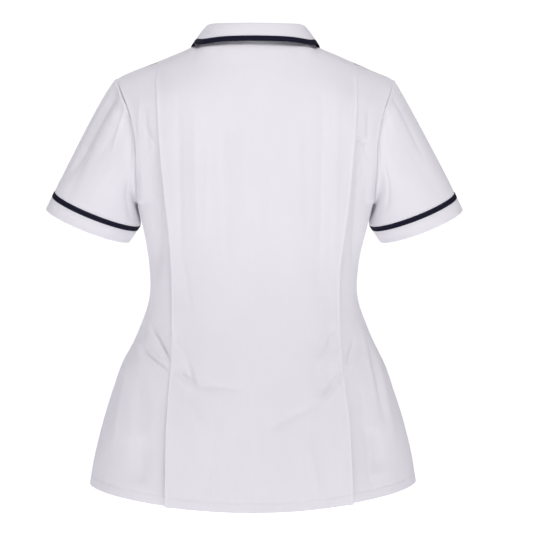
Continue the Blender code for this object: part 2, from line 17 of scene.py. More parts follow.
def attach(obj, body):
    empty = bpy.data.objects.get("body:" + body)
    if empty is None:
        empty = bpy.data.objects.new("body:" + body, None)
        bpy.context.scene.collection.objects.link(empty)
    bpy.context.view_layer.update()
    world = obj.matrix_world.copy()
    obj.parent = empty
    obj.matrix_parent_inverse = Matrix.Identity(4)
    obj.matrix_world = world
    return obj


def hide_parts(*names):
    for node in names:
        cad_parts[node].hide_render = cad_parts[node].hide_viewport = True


bl_info = {
    "name": "Work tunic looks",
    "version": (1, 0, 0),
    "blender": (4, 5, 0),
    "location": "View3D > Sidebar > Tunic",
    "description": "Cloth, stitching, buttons and studio of a work tunic",
    "category": "Object",
}

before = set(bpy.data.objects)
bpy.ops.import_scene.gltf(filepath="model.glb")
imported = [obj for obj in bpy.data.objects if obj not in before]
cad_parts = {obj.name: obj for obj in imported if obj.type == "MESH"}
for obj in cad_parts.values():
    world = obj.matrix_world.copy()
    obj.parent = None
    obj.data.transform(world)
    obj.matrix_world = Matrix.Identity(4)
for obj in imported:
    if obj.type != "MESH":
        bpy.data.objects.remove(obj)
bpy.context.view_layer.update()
MM = 0.001

# Cloth of the solids, and of the shells that stand for them
WALL = 1.2
SEAM_GAP = 0.36
PLEAT_GAP = 0.5
BAND_RISE = 0.6
HEM_RISE = 0.3
CLOTH = 0.6
FOLDED = 1.15
PLEAT_FOLD_WIDTH = 18.0
STAND_FOLD_WIDTH = 34.0
LAYER_END = 1.5
HEM_CLOTH = 1.3
CUFF_CLOTH = 1.6
COLLAR_CLOTH = 1.2
TRIM_CLOTH = 1.8
HEM_DEPTH = 14.0
HEM_TURN_UP = 1.0

# Shoulder line: its height at the collar's edge and how far it falls for each millimetre outwards
SHOULDER_X = 101.0
SHOULDER_HEIGHT = -1.5
SHOULDER_FALL = 0.42

# Neckline, an oval seen from above
NECK_HALF_WIDTH = 80.0
NECK_BACK = 79.0
NECK_FRONT = 84.0
NECK_BACK_DROP = 12.0
NECK_FRONT_DROP = 96.0
NECK_FRONT_CURVE = 1.6
ROUND_NECK_STRETCH = 0.4

# Where the grid's inner line runs down the body, and how much fuller the sides are
INNER_LINE_X = 100.0
SIDE_STRETCH = 1.12
UNDERARM_BLEND = 2.0

# The left and right pieces: which way x runs on each
SIDES = ((1, "left"), (-1, "right"))

# Pleats
PLEAT_LIFT = 2.5
PLEAT_VALLEY = 6.0
VALLEY_REACH = 0.5
LIFT_REACH = 0.6
SHALLOW_VALLEY = 0.5
VALLEY_BLEND = 60.0

# Fronts: the lap past the centre line, as a share of the way to the inner line
LAP = 0.17
LAP_DROP = WALL + 0.9
LAP_REACH = 0.53

# The wearer's hips, moved to the left and turned
HIP_SHIFT = 2.8
HIP_TURN = math.radians(1.3)
HEM_TURN = math.radians(1.4)
HIP_HEIGHTS = (-245.0, -385.0)
HEM_HEIGHTS = (-450.0, -700.0)

# Rings below the armholes, hem first
Ring = namedtuple("Ring", "height side_height half_width back_depth front_depth square pleat_x")
RINGS = (
    Ring(-718, -690, 259, 129, 113, 2.30, 141.0),
    Ring(-660, -645, 251, 129, 112, 2.30, 140.0),
    Ring(-590, -582, 235, 126, 110, 2.30, 138.0),
    Ring(-535, -530, 217, 119, 107, 2.25, 133.5),
    Ring(-500, -497, 204, 113, 105, 2.20, 130.5),
    Ring(-450, -449, 182, 104, 103, 2.20, 129.0),
    Ring(-400, -399, 165.5, 98, 104, 2.20, 128.0),
    Ring(-350, -350, 166, 98, 112, 2.20, 129.0),
    Ring(-303, -303, 174.5, 105, 125, 2.25, 133.0),
    Ring(-251, -251, 187, 113, 135, 2.30, 139.0),
)
ARMPIT = len(RINGS) - 1

# Centre line, inner line, pleat or princess line, and armhole edge above the armpits
Row = namedtuple("Row", "c_y c_z n_x n_y n_z p_x p_y p_z s_x s_y s_z")
BACK_ROWS = (
    Row(118, -201, 100, 107, -201, 144.0, 88, -202, 184.5, 57, -205),
    Row(119, -149, 100, 109, -149, 149.0, 94, -151, 187.0, 69, -155),
    Row(112, -97, 102, 102, -95, 152.5, 87, -101, 196.0, 62, -112),
    Row(101.5, -55, 103, 78, -53, 155.0, 62, -66, 208.0, 45, -83),
    Row(90.5, -27, 96, 40, -15.6, 155.5, 33, -40, 216.0, 23, -63),
)
FRONT_ROWS = (
    Row(-128, -206, 100, -118, -205, 143.0, -97, -203, 180.0, -60, -205),
    Row(-113, -160, 100, -107, -157, 147.0, -90, -153, 178.0, -63, -156),
    Row(-101, -129, 101, -91, -108, 151.0, -77, -106, 186.0, -53, -113),
    Row(-92, -107, 102, -66, -63, 154.0, -55, -69, 200.0, -38, -83),
    Row(-87, -95, 96, -33, -20, 155.5, -29, -42, 213.0, -20, -63),
)
TOP = ARMPIT + len(BACK_ROWS) + 1
SHOULDER_TIP_X = 219.0
PLEAT_TOP_X = 155.5

# How far a pleat stands open down its length, 0 where it is stitched shut
Opening = namedtuple("Opening", "height share")
OPENINGS = (
    Opening(-718, 1.0),
    Opening(-650, 0.95),
    Opening(-580, 0.65),
    Opening(-530, 0.25),
    Opening(-503, 0.0),
    Opening(-470, 0.2),
    Opening(-440, 0.35),
    Opening(-380, 0.6),
    Opening(-310, 1.0),
    Opening(-250, 0.95),
    Opening(-200, 0.85),
    Opening(-174, 0.45),
    Opening(-152, 0.0),
    Opening(0, 0.0),
)

# Creases by the panels that they lie on. Each runs from one point to another, x and z of both,
# then come its reach to each side and its depth: outwards a ridge, inwards (below zero) a trough.
# The back and front ones lie on every panel there, the centre ones on the back centre panel.
CREASES = {
    "back": (
        (158, -440, 134, -497, 11, -3.0),
        (175, -452, 137, -506, 12, 2.5),
        (200, -478, 185, -640, 20, 3.0),
        (122, -452, 96, -520, 14, -2.0),
        (120, -508, 60, -532, 12, -2.2),
        (-118, -440, -86, -482, 12, -2.5),
        (-122, -508, -88, -545, 13, -2.5),
        (-205, -490, -196, -640, 20, 2.5),
        (78, -90, 66, -330, 20, -2.0),
        (-72, -120, -80, -300, 22, -1.6),
    ),
    "front": (
        (150, -330, 60, -420, 20, -3.2),
        (-140, -330, -66, -400, 20, -2.9),
        (150, -470, 120, -690, 24, 3.9),
        (-146, -480, -126, -690, 24, 3.4),
        (185, -212, 120, -262, 16, -3.1),
        (-185, -212, -128, -258, 16, -3.1),
    ),
    "centre": (
        # Drawn from the tack on the wearer's left pleat
        (128, -452, 110, -484, 3.4, -3.2),
        (110, -484, 98, -522, 3.4, -2.7),
        (122, -462, 103, -500, 3.4, 2.0),
        (126, -504, 90, -529, 3.2, -4.0),
        (90, -530, 30, -534, 4.2, -2.7),
        (126, -512, 96, -538, 4.0, 2.3),
        (120, -530, 92, -590, 7, 2.2),
        (108, -520, 82, -572, 6, -2.0),
        # Drawn from the tack on the wearer's right pleat
        (-127, -446, -97, -486, 3.8, -3.6),
        (-130, -470, -104, -506, 4.2, 2.0),
        (-134, -506, -100, -546, 3.6, -4.1),
        (-128, -520, -100, -560, 4.2, 2.2),
        (-96, -553, -20, -592, 6, -2.5),
        (-108, -470, -92, -520, 7, 1.8),
        # Soft drops down the back
        (119, -95, 116, -330, 7, -2.4),
        (96, -110, 92, -300, 7, 1.8),
        (52, -110, 46, -340, 10, -2.4),
        (74, -150, 78, -290, 8, 1.4),
        (20, -140, 14, -420, 14, 1.4),
        (-14, -170, -20, -330, 12, -1.3),
        (-122, -90, -118, -360, 8, 1.9),
        (-98, -100, -96, -380, 8, -2.2),
        (-60, -130, -66, -300, 10, 1.4),
        (64, -560, 74, -690, 12, -2.2),
        (20, -610, 26, -700, 10, 1.4),
        (-70, -600, -92, -700, 13, 2.2),
        (112, -340, 100, -420, 7, -1.9),
    ),
    "side_left": (
        # Drawn from the tack on the wearer's left pleat
        (163, -440, 134, -492, 3.6, -4.3),
        (157, -446, 132, -486, 3.4, 2.5),
        (172, -462, 136, -502, 3.8, 3.4),
        (176, -478, 134, -508, 3.6, -4.0),
        (186, -462, 174, -506, 6, 1.6),
        (194, -490, 218, -614, 9, 3.5),
        (176, -520, 186, -650, 12, -3.5),
        (158, -540, 162, -690, 9, 1.8),
        # Soft drops down the back
        (171, -110, 168, -180, 6, -2.2),
        (180, -96, 184, -190, 5, 1.4),
        (176, -130, 152, -176, 6, -1.8),
        # Beside the pleats' folds, where the side panels turn away under them
        (159, -168, 156, -360, 15, -11.0),
        (177, -612, 181, -674, 18, -5.0),
        (178, -190, 176, -250, 9, 1.5),
    ),
    "side_right": (
        # Drawn from the tack on the wearer's right pleat
        (-153, -462, -139, -500, 3.6, -3.1),
        (-160, -480, -142, -506, 3.6, 2.2),
        (-166, -446, -186, -560, 6, 3.1),
        (-176, -470, -200, -600, 6, -3.1),
        (-188, -480, -214, -620, 6, 2.7),
        (-162, -540, -176, -690, 10, -2.6),
        # Beside the pleats' folds, where the side panels turn away under them
        (-161, -165, -156, -345, 13, -9.0),
        (-183, -600, -187, -660, 18, -5.0),
        (-155, -157, -172, -166, 3.5, -3.0),
        (-174, -196, -172, -262, 7, -2.6),
        (-172, -110, -168, -180, 6, -2.2),
        (-150, -150, -180, -188, 5, -1.9),
    ),
    "front_left": (
        (168, -240, 96, -300, 8, -2.3),
        (164, -410, 110, -470, 7, -2.3),
        (60, -500, 74, -700, 12, 2.3),
        (196, -480, 214, -660, 10, -2.3),
        (130, -200, 70, -232, 8, -1.7),
    ),
    "front_right": (
        (-166, -236, -100, -290, 8, -2.3),
        (-160, -400, -92, -452, 7, -2.3),
        (-74, -520, -84, -700, 12, 2.3),
        (-200, -490, -212, -650, 10, -2.1),
        (-124, -196, -76, -226, 8, -1.6),
    ),
}

# Past each of its ends a crease runs out, and it fades over this share of its length
CREASE_RUN_OUT = 0.15
CREASE_FADE = 0.4

# Creases fade over this width before the armhole and the side seam, where two panels meet
CREASE_EDGE = 15.0

# How steeply a crease falls away, and how blunt its tip is
CREASE_SHARPNESS = 1.5
CREASE_TIP = 0.3

# Small waves of the cloth: how long each is across and down, where it starts, and its height
Wave = namedtuple("Wave", "across down start height")
WAVES = (
    Wave(173, 260, 0.4, 0.40),
    Wave(-96, 190, 2.1, 0.30),
    Wave(61, -140, 4.0, 0.18),
    Wave(43, 520, 1.3, 0.13),
    Wave(-29, 410, 5.1, 0.07),
)

# Puckers where a seam or hem is stitched: wavelengths along it, and their height
PUCKERS = ((11.0, 0.5, 0.14), (17.0, 2.2, 0.12), (7.3, 3.9, 0.07))
PUCKER_REACH = 7.0

# The rolled edge of a pleat's fold, and the seam round the armhole: the body's edge stands up where
# the seam's allowances lie under it, and the sleeve dips beside it
FOLD_ROLL = 1.6
FOLD_ROLL_TOP = -45.0
FOLD_ROLL_REACH = 3.0
ARMHOLE_ROLL = 1.0
ARMHOLE_ROLL_REACH = 4.0
ROLL_BOTTOM = -232.0
ROLL_TOP = -58.0
ROLL_BLEND = 20.0
SLEEVE_DIP = 4.2
SLEEVE_DIP_AT = 6.0
SLEEVE_DIP_REACH = 5.5
SLEEVE_DIP_TURN = 0.6
SHOULDER_EASE = 1.8
EASE_REACH = 14.0
EASE_BOTTOM = -110.0
EASE_BLEND = 40.0
STITCH_DIP = 0.35
STITCH_DIP_REACH = 1.5

# Sleeves: the ring at the top of the contrast band and the ring at the hem
SleeveRing = namedtuple("SleeveRing", "x y z across deep")
BAND_RING = SleeveRing(252, -18, -257, 73.2, 53)
HEM_RING = SleeveRing(268, -25, -283.5, 71.5, 51)
SLEEVE_ACROSS = np.array((0.926, 0.0, 0.378))
SLEEVE_DOWN = np.array((0.369, -0.217, -0.904))
BAND_SHARE = 0.27
CAP_PULL = {"left": 0.24, "right": 0.06}
ARMPIT_PULL = 0.40
ARMPIT_OUT = 0.9
BAND_PULL = 0.8
UNDERARM_HEIGHTS = (-130.0, -240.0)
SleeveFold = namedtuple("SleeveFold", "turn turn_reach share share_reach depth")
SLEEVE_FOLDS = (
    SleeveFold(85, 40, 0.16, 0.10, -5.0),
    SleeveFold(44, 15, 0.25, 0.25, 3.5),
    SleeveFold(275, 40, 0.16, 0.10, -4.0),
)

# Creases of the sleeves: from one place to another, each in degrees round the sleeve and as a
# share of its length down it, then the reach and the depth
SLEEVE_CREASES = {
    "left": (
        (50, 0.02, 72, 0.42, 4.5, 3.2),
        (24, 0.06, 31, 0.80, 27, -10.5),
        (66, 0.20, 60, 0.62, 9, -1.4),
        (128, 0.30, 142, 0.85, 8, -2.2),
        (110, 0.45, 104, 0.95, 10, 1.3),
        (40, 0.60, 52, 0.97, 10, -1.3),
        (84, 0.50, 80, 0.97, 9, 0.9),
        (230, 0.25, 214, 0.80, 12, -2.0),
        (300, 0.30, 312, 0.80, 14, -2.0),
        (268, 0.20, 262, 0.60, 9, 1.3),
    ),
    "right": (
        (52, 0.03, 62, 0.36, 6, 1.3),
        (34, 0.05, 44, 0.62, 10, -2.8),
        (112, 0.22, 132, 0.78, 7, -2.4),
        (92, 0.35, 100, 0.90, 10, 1.4),
        (60, 0.50, 52, 0.95, 12, -1.4),
        (236, 0.25, 218, 0.80, 12, -2.0),
        (302, 0.30, 316, 0.80, 14, -2.0),
        (270, 0.20, 264, 0.60, 9, 1.2),
    ),
}
SLEEVE_GIRTH_PER_DEGREE = 1.1
SLEEVE_LENGTH = 190.0
SLEEVE_FOLD_FADE = 0.1
SLEEVE_SEAM_FADE = 0.02

# Collar: at an angle round the neck from the centre back, where its fold and its edge lie
CollarRow = namedtuple("CollarRow", "angle fold_x fold_y fold_z edge_x edge_y edge_z")
COLLAR_ROWS = (
    CollarRow(0, 0, 67, 25, 0, 87.5, -5.5),
    CollarRow(30, 41, 58.5, 26, 51.5, 78, -5.2),
    CollarRow(60, 68, 35, 29, 86, 49.5, -5),
    CollarRow(90, 77, 2, 29, 100.5, 4, 1.1),
    CollarRow(112, 73, -28, 14, 104, -36, -14),
    CollarRow(135, 59, -56, -12, 94, -72, -56),
    CollarRow(157, 35, -78, -46, 70, -102, -108),
    CollarRow(176, 6, -88, -76, 40, -115, -150),
)
STAND_INSET = 2.9
STAND_INSET_AT_LAP = 6.4
LAP_ANGLE = 135.0
STAND_LAP = 3.0
FOLD_RADIUS = 2.4
FOLD_EASE = 1.6
FOLD_INWARD = 0.3
FOLD_OUTWARD = 0.9
FALL_BELLY = 2.0
TRIM_WIDTH = 9.8

# Buttons
BUTTON_RADIUS = 7.5
BUTTON_THICKNESS = 3.0
BUTTON_SEAT = 0.85
BUTTON_TOP = -124.0
BUTTON_STEP = 88.0
BUTTON_COUNT = 6

# Fineness of the shells
ROWS_PER_RING = 15
HEM_ROWS = 14
HEM_ROWS_APART = 0.022
UNDERLAY_COLUMN = 1.4
PLEAT_COLUMN = 2.0
BACK_COLUMNS = (36, 20, 40)
FRONT_COLUMNS = (6, 28, 25)
NEAR_EDGE = 0.015
SLEEVE_ROW_COUNT = 56
SEAM_ROW_COUNT = 12
SEAM_SHARE = 0.1
SLEEVE_BAND_ROWS = 6
SLEEVE_HEM_ROWS = 16
COLLAR_ANGLE_STEPS = 64
COLLAR_SECTION = (8, 16, 6)
COLLAR_EDGE_ROWS = 6
RIM_ANGLES = (math.radians(45), math.radians(90), math.radians(135))
MERGE_DISTANCE = 0.000004

# Stitching, in millimetres: how high the thread lies, and how far the lines lie from the pieces'
# edges. EDGE_STITCHES are the ones that dip the cloth of a sleeve or the collar, each with its
# strength; WHITE_LINES and NAVY_LINES are the lines of thread that are made.
THREAD_LIFT = 0.12
FRONT_STITCHES = (2.0, 32.0)
SLEEVE_HEM_STITCHES = (("first_row", 3.0), ("last_row", 4.0))
COLLAR_STITCH = 1.5
TRIM_STITCH = 1.6
BAND_STITCH = 1.4
EDGE_STITCHES = {
    "sleeve": (("last_row", 1.0, 0.8),),
    "sleeve_hem": tuple((*line, 0.7) for line in SLEEVE_HEM_STITCHES),
    "collar": (("last_row", COLLAR_STITCH, 0.6),),
}
BODY = ("back_centre", "back_side_left", "back_side_right", "front_left", "front_right")
WHITE_LINES = (
    *((node, "first_row", HEM_DEPTH) for node in BODY),
    *((node, "first_column", distance) for node in BODY[3:] for distance in FRONT_STITCHES),
    *((f"sleeve_hem_{side}", *line) for _, side in SIDES for line in SLEEVE_HEM_STITCHES),
    ("collar", "last_row", COLLAR_STITCH),
)
NAVY_LINES = (
    ("collar_trim", "first_row", TRIM_STITCH),
    *(
        (f"sleeve_band_{side}", edge, BAND_STITCH)
        for _, side in SIDES
        for edge in ("first_row", "last_row")
    ),
)

# Tacks: two short rows of close stitches over each pleat's edge
TACK_HEIGHT = -503.0
TACK_START = 1.0
TACK_LENGTH = 7.0
TACK_POINTS = 6
TACK_ROWS_APART = 0.9

# Buttonholes, and the buttons' fineness and threads, in metres
BUTTONHOLE_REACH = 0.0082
BUTTONHOLE_HALF_WIDTH = 0.0009
BUTTONHOLE_DROP = 0.0006
BUTTONHOLE_STEPS = 24
BUTTON_SHARP_ANGLE = math.radians(40)
RIM_STEPS = 10
BUTTON_STEPS = 32

# The threads of a button: how far each lies to the side, its path as shares of the way to a hole
# with its height, and the pitch, length and radius of its twist
HOLD_ASIDE = (-0.00028, 0.0, 0.00028)
HOLD_PROFILE = ((-1, -0.0008), (-1, 0.0001), (0, 0.0003), (1, 0.0001), (1, -0.0008))
HOLD_STITCH = (0.0004, 0.0011, 0.00017)

# Weaves: yarns to the metre, how deep the weave is in metres, and its sheen. Then how strongly
# the cloth mirrors light, how its single yarns show in the twill, and how its streaks run.
WEAVES = {"white": (2200.0, 0.00007, 0.1), "navy": (1900.0, 0.0001, 0.0)}
CLOTH_SHINE = 0.12
YARN_SHARE = 0.35
YARN_STREAKS = (0.35, 0.01, 1.0)

# Studio: each light's place, the point that it faces, its side and its colour; how bright the
# surround looks to the camera; and the floor's two greys and how finely they mix
LIGHTS = {
    "key": ((-0.1, 1.8, 1.9), (0, 0, -0.15), 1.4, (1.0, 0.995, 0.965)),
    "front": ((0.9, -2.5, 0.4), (0, 0, -0.3), 1.6, (1.0, 0.99, 0.98)),
    "top": ((0.0, 0.9, 2.4), (0, 0, -0.15), 1.6, (1.0, 0.995, 0.97)),
}
SEEN_STRENGTH = 1.05
FLOOR_GREYS = ((0.9, 0.9, 0.9, 1), (0.94, 0.94, 0.94, 1))
FLOOR_DETAIL = 2.0

# Camera: its turn from straight behind, its place, and what it sees in the picture's own pixels
CAMERA_TURN = 1.5
CAMERA_DISTANCE = 2.12
CAMERA_HEIGHT = -0.3514
PICTURE_SIZE = 535.0
FOCAL_PIXELS = 1333.0
CENTRE_LINE_X = 255.7
SENSOR_WIDTH = 36.0

# The cut of what shows of each cloth piece: its width and length in metres across its widest
# places, its area in square metres where that isn't their product, and what it rests on
Cut = namedtuple("Cut", "width length area hangs_from")

# A piece of cloth to be made: the solid that it stands for, its outer grid, the normals there, how
# thick it is at each point, whether it goes round, and the record's slot, which sets its finish
Panel = namedtuple("Panel", "node outer normals thickness closed slot")


def unit(vectors):
    """The same vectors, each one long."""
    length = np.linalg.norm(vectors, axis=-1, keepdims=True)
    return vectors / np.maximum(length, 1e-9)


def smooth_step(value):
    """0 below 0, 1 above 1, and a soft rise between."""
    value = np.clip(value, 0.0, 1.0)
    return value * value * (3 - 2 * value)


def spline(knots, at, before=None, after=None):
    """A smooth curve through the knots, read at the given positions."""
    knots = np.asarray(knots, float)
    before = 2 * knots[0] - knots[1] if before is None else before
    after = 2 * knots[-1] - knots[-2] if after is None else after
    padded = np.concatenate(([before], knots, [after]))
    at = np.asarray(at, float)
    step = np.clip(np.floor(at).astype(int), 0, len(knots) - 2)
    f = (at - step).reshape(at.shape + (1,) * (knots.ndim - 1))
    a, b, c, d = (padded[step + k] for k in range(4))
    return b + 0.5 * f * (c - a + f * (2 * a - 5 * b + 4 * c - d + f * (3 * (b - c) + d - a)))


def hermite(start, end, start_pull, end_pull, f):
    """A curve from start to end that leaves and arrives along the two pulls."""
    return (
        start * (2 * f**3 - 3 * f**2 + 1)
        + start_pull * (f**3 - 2 * f**2 + f)
        + end * (3 * f**2 - 2 * f**3)
        + end_pull * (f**3 - f**2)
    )


def shoulder_height(x):
    """The height of the shoulder line at a distance from the centre."""
    return SHOULDER_HEIGHT - SHOULDER_FALL * (x - SHOULDER_X)


def neckline(angle):
    """The neckline at angles in radians from the centre back: an oval that dips at the front."""
    angle = np.asarray(angle, float)
    turn = np.cos(angle)
    depth = np.where(turn > 0, NECK_BACK, NECK_FRONT)
    front_drop = NECK_FRONT_DROP * np.abs(turn) ** NECK_FRONT_CURVE
    drop = np.where(turn > 0, NECK_BACK_DROP * turn**2, front_drop)
    top = shoulder_height(NECK_HALF_WIDTH)
    return np.stack((NECK_HALF_WIDTH * np.sin(angle), depth * turn, top - drop), axis=-1)


def ring_lines(ring, face):
    """The four line points of a ring: centre, inner line, pleat line and side seam."""
    depth = ring.back_depth if face == "back" else -ring.front_depth

    def on_oval(x):
        share = abs(x) / ring.half_width
        rise = (ring.side_height - ring.height) * share**2
        return (x, depth * (1 - share**ring.square) ** (1 / ring.square), ring.height + rise)

    return [on_oval(x) for x in (0.0, INNER_LINE_X, ring.pleat_x, ring.half_width)]


def row_lines(row):
    """The same four line points of a row above the armpits."""
    return [
        (0.0, row.c_y, row.c_z),
        (row.n_x, row.n_y, row.n_z),
        (row.p_x, row.p_y, row.p_z),
        (row.s_x, row.s_y, row.s_z),
    ]


def face_lines(face):
    """All the rows of one face, from the hem to the shoulder seam."""
    rows = BACK_ROWS if face == "back" else FRONT_ROWS
    centre = neckline(0.0 if face == "back" else math.pi)
    corner = neckline(math.pi / 2)
    top = [centre, corner]
    top += [(x, 0.0, shoulder_height(x)) for x in (PLEAT_TOP_X, SHOULDER_TIP_X)]
    lines = [ring_lines(ring, face) for ring in RINGS] + [row_lines(row) for row in rows] + [top]
    return np.array(lines, float)


def face_grid(face, columns, rows):
    """The outer points of one face's half at x above 0, a row for each height. A column runs
    from 0 on the centre line through 1 on the inner line and 2 on the pleat line to 3."""
    lines = face_lines(face)
    other = face_lines("front" if face == "back" else "back")
    at_rows = spline(lines, rows)
    armhole = spline(
        lines[ARMPIT:, 3], rows - ARMPIT, before=other[ARMPIT + 1, 3], after=other[TOP - 1, 3]
    )
    side = spline(lines[: ARMPIT + 1, 3], rows)
    at_rows[:, 3] = np.where((rows <= ARMPIT)[:, None], side, armhole)
    centre, inner, pleat, edge = (at_rows[:, k] for k in range(4))
    mirrored = inner * (-1, 1, 1)

    legs = [inner - centre, pleat - inner, edge - pleat]
    length = [np.linalg.norm(leg, axis=-1, keepdims=True) for leg in legs]
    at_centre = unit(inner - mirrored)
    at_inner = unit(unit(legs[0]) * length[1] + unit(legs[1]) * length[0])
    at_pleat = unit(unit(legs[1]) * length[2] + unit(legs[2]) * length[1])
    forwards = np.array((0.0, -1.0 if face == "back" else 1.0, 0.0))
    free = unit(2 * unit(legs[2]) - at_pleat)
    round_neck = smooth_step((rows - TOP + 2) / 2)[:, None]
    above = smooth_step((rows - ARMPIT) / UNDERARM_BLEND)[:, None]
    at_edge = unit(forwards * (1 - above) + free * above)

    fuller = 1 + ROUND_NECK_STRETCH * round_neck
    at_corner = unit(at_inner * (1 - round_neck) + forwards * round_neck) * fuller
    at_centre = at_centre * fuller
    pulls = [(at_centre, at_corner), (at_inner, at_pleat), (at_pleat, at_edge)]
    ends = [(centre, inner), (inner, pleat), (pleat, edge)]
    grid = np.zeros((len(rows), len(columns), 3))
    for k, column in enumerate(columns):
        leg = int(min(math.floor(abs(column)), 2))
        f = abs(column) - leg
        stretch = length[leg] * (SIDE_STRETCH if leg == 2 else 1.0)
        grid[:, k] = hermite(*ends[leg], pulls[leg][0] * stretch, pulls[leg][1] * stretch, f)
        angle = abs(column) * math.pi / 2
        rim = neckline(angle if face == "back" else math.pi - angle)
        straight = ends[leg][0] * (1 - f) + ends[leg][1] * f
        share = smooth_step(rows - (TOP - 1))[:, None]
        grid[:, k] = grid[:, k] * (1 - share) + (rim if leg == 0 else straight) * share
        if column < 0:
            grid[:, k, 0] *= -1
    return grid


def grid_normals(grid, closed=False):
    """Normals at a grid's points, not yet one long, each the sum of those of the faces around
    it. They face the viewer who sees the columns run to the right as the rows go up."""
    if closed:
        grid = np.concatenate((grid, grid[:, :1]), axis=1)
    across = grid[:-1, 1:] - grid[1:, :-1]
    along = grid[1:, 1:] - grid[:-1, :-1]
    faces = unit(np.cross(across, along))
    total = np.zeros(grid.shape)
    for rows in (slice(0, -1), slice(1, None)):
        for columns in (slice(0, -1), slice(1, None)):
            total[rows, columns] += faces
    if closed:
        total[:, 0] += total[:, -1]
        total = total[:, :-1]
    return total


def with_edges(values):
    """The values with one more close beside each end."""
    first, last = values[0] + NEAR_EDGE, values[-1] - NEAR_EDGE
    return np.concatenate((values[:1], [first], values[1:-1], [last], values[-1:]))


def steps(start, end, count):
    """Values in equal steps from just after the start to the end."""
    return np.linspace(start, end, count + 1)[1:]


def body_rows():
    """Where the rows of the body's panels lie, closer together over the hem."""
    hem = np.arange(0, HEM_ROWS) * HEM_ROWS_APART
    rest = np.arange(1, TOP * ROWS_PER_RING + 1) / ROWS_PER_RING
    rows = np.concatenate((hem, rest[rest > hem[-1]], [TOP - NEAR_EDGE]))
    return np.unique(np.round(rows, 6))


def back_columns():
    """Where the columns of the back's left half lie, from the centre to the side."""
    middle, pleat, side = BACK_COLUMNS
    legs = (np.arange(0, middle) / middle, 1 + np.arange(0, pleat) / pleat)
    legs += (2 + np.arange(0, side + 1) / side,)
    near = [NEAR_EDGE, 2 - NEAR_EDGE, 2 - 3 * NEAR_EDGE, 2 + NEAR_EDGE, 3 - NEAR_EDGE]
    return np.unique(np.round(np.concatenate((*legs, near)), 6))


def front_columns():
    """Where the columns of a front lie, from the edge that laps to the side."""
    lap, middle, side = FRONT_COLUMNS
    legs = (LAP * np.arange(-lap, lap + 1) / lap,)
    legs += (LAP + (1 - LAP) * np.arange(1, middle + 1) / middle,)
    legs += (1 + np.arange(1, 2 * side + 1) / side,)
    near = [-LAP + NEAR_EDGE, LAP - NEAR_EDGE, 3 - NEAR_EDGE]
    return np.unique(np.round(np.concatenate((*legs, near)), 6))


def index_of(values, value):
    """Where a value lies in a sorted list."""
    return int(np.argmin(np.abs(np.asarray(values) - value)))


def torso(rows, on_back, on_front):
    """The outer grids of both faces' halves and their normals, which agree along shared seams."""
    back = face_grid("back", on_back, rows)
    front = face_grid("front", on_front, rows)
    back_normal = -grid_normals(back)
    front_normal = grid_normals(front)
    lap = index_of(on_front, 0)
    back_normal[:, 0, 0] = 0
    front_normal[:, lap, 0] = 0
    front_normal[:, :lap] = front_normal[:, 2 * lap : lap : -1] * (-1, 1, 1)
    below = rows <= ARMPIT
    seam = back_normal[below, -1] + front_normal[below, -1]
    back_normal[below, -1] = seam
    front_normal[below, -1] = seam
    shoulder = np.array((SHOULDER_FALL, 0.0, 1.0))
    back_normal[-1, index_of(on_back, 1) :] = shoulder
    front_normal[-1, index_of(on_front, 1) :] = shoulder
    return back, unit(back_normal), front, unit(front_normal)


def opening_share(height):
    """How far the pleats stand open at a height."""
    table = np.array(OPENINGS)
    return np.interp(height, table[:, 0], table[:, 1])


def line_relief(across, down, start, end, reach, depth):
    """A soft trough or ridge along a line on a surface that is laid flat."""
    run = np.array(end) - np.array(start)
    length = np.linalg.norm(run)
    along = ((across - start[0]) * run[0] + (down - start[1]) * run[1]) / length**2
    off = ((across - start[0]) * run[1] - (down - start[1]) * run[0]) / length
    ends = smooth_step((along + CREASE_RUN_OUT) / CREASE_FADE)
    ends *= smooth_step((1 + CREASE_RUN_OUT - along) / CREASE_FADE)
    blunt = np.sqrt((off / reach) ** 2 + CREASE_TIP**2) - CREASE_TIP
    return depth * ends * np.exp(-CREASE_SHARPNESS * blunt)


def creased(points, panels):
    """How far the creases of the named panels, and the small waves, move each point outwards."""
    x, z = points[..., 0], points[..., 2]
    relief = np.zeros(x.shape)
    for panel in panels:
        for x0, z0, x1, z1, reach, depth in CREASES[panel]:
            relief += line_relief(x, z, (x0, z0), (x1, z1), reach, depth)
    for wave in WAVES:
        turns = 2 * math.pi * (x / wave.across + z / wave.down) + wave.start
        relief += wave.height * np.sin(turns)
    return relief


def walked(grid, axis, from_end=False):
    """How far each point of a grid is from the grid's first line, or from its last, walking
    over the cloth along that axis."""
    step = np.linalg.norm(np.diff(grid, axis=axis), axis=-1)
    if from_end:
        step = np.flip(step, axis)
    start = np.zeros_like(np.take(step, [0], axis=axis))
    total = np.cumsum(np.concatenate((start, step), axis=axis), axis=axis)
    return np.flip(total, axis) if from_end else total


def stitched(distance, line, along):
    """The dip along a stitched line and the puckers beside it, at a distance from an edge."""
    off = distance - line
    ripple = sum(
        height * np.sin(2 * math.pi * along / length + start) for length, start, height in PUCKERS
    )
    dip = -STITCH_DIP * np.exp(-((off / STITCH_DIP_REACH) ** 2))
    return dip + ripple * np.exp(-((off / PUCKER_REACH) ** 2))


def moved(points, normals, distance):
    """Points moved along their normals."""
    return points + normals * np.asarray(distance)[..., None]


def inset(points, first_row=0.0, last_row=0.0, first_column=0.0, last_column=0.0):
    """A grid whose outermost rows and columns are drawn in by the given distances."""
    grid = points.copy()
    grid[0] += unit(points[1] - points[0]) * first_row
    grid[-1] += unit(points[-2] - points[-1]) * last_row
    grid[:, 0] += unit(points[:, 1] - points[:, 0]) * first_column
    grid[:, -1] += unit(points[:, -2] - points[:, -1]) * last_column
    return grid


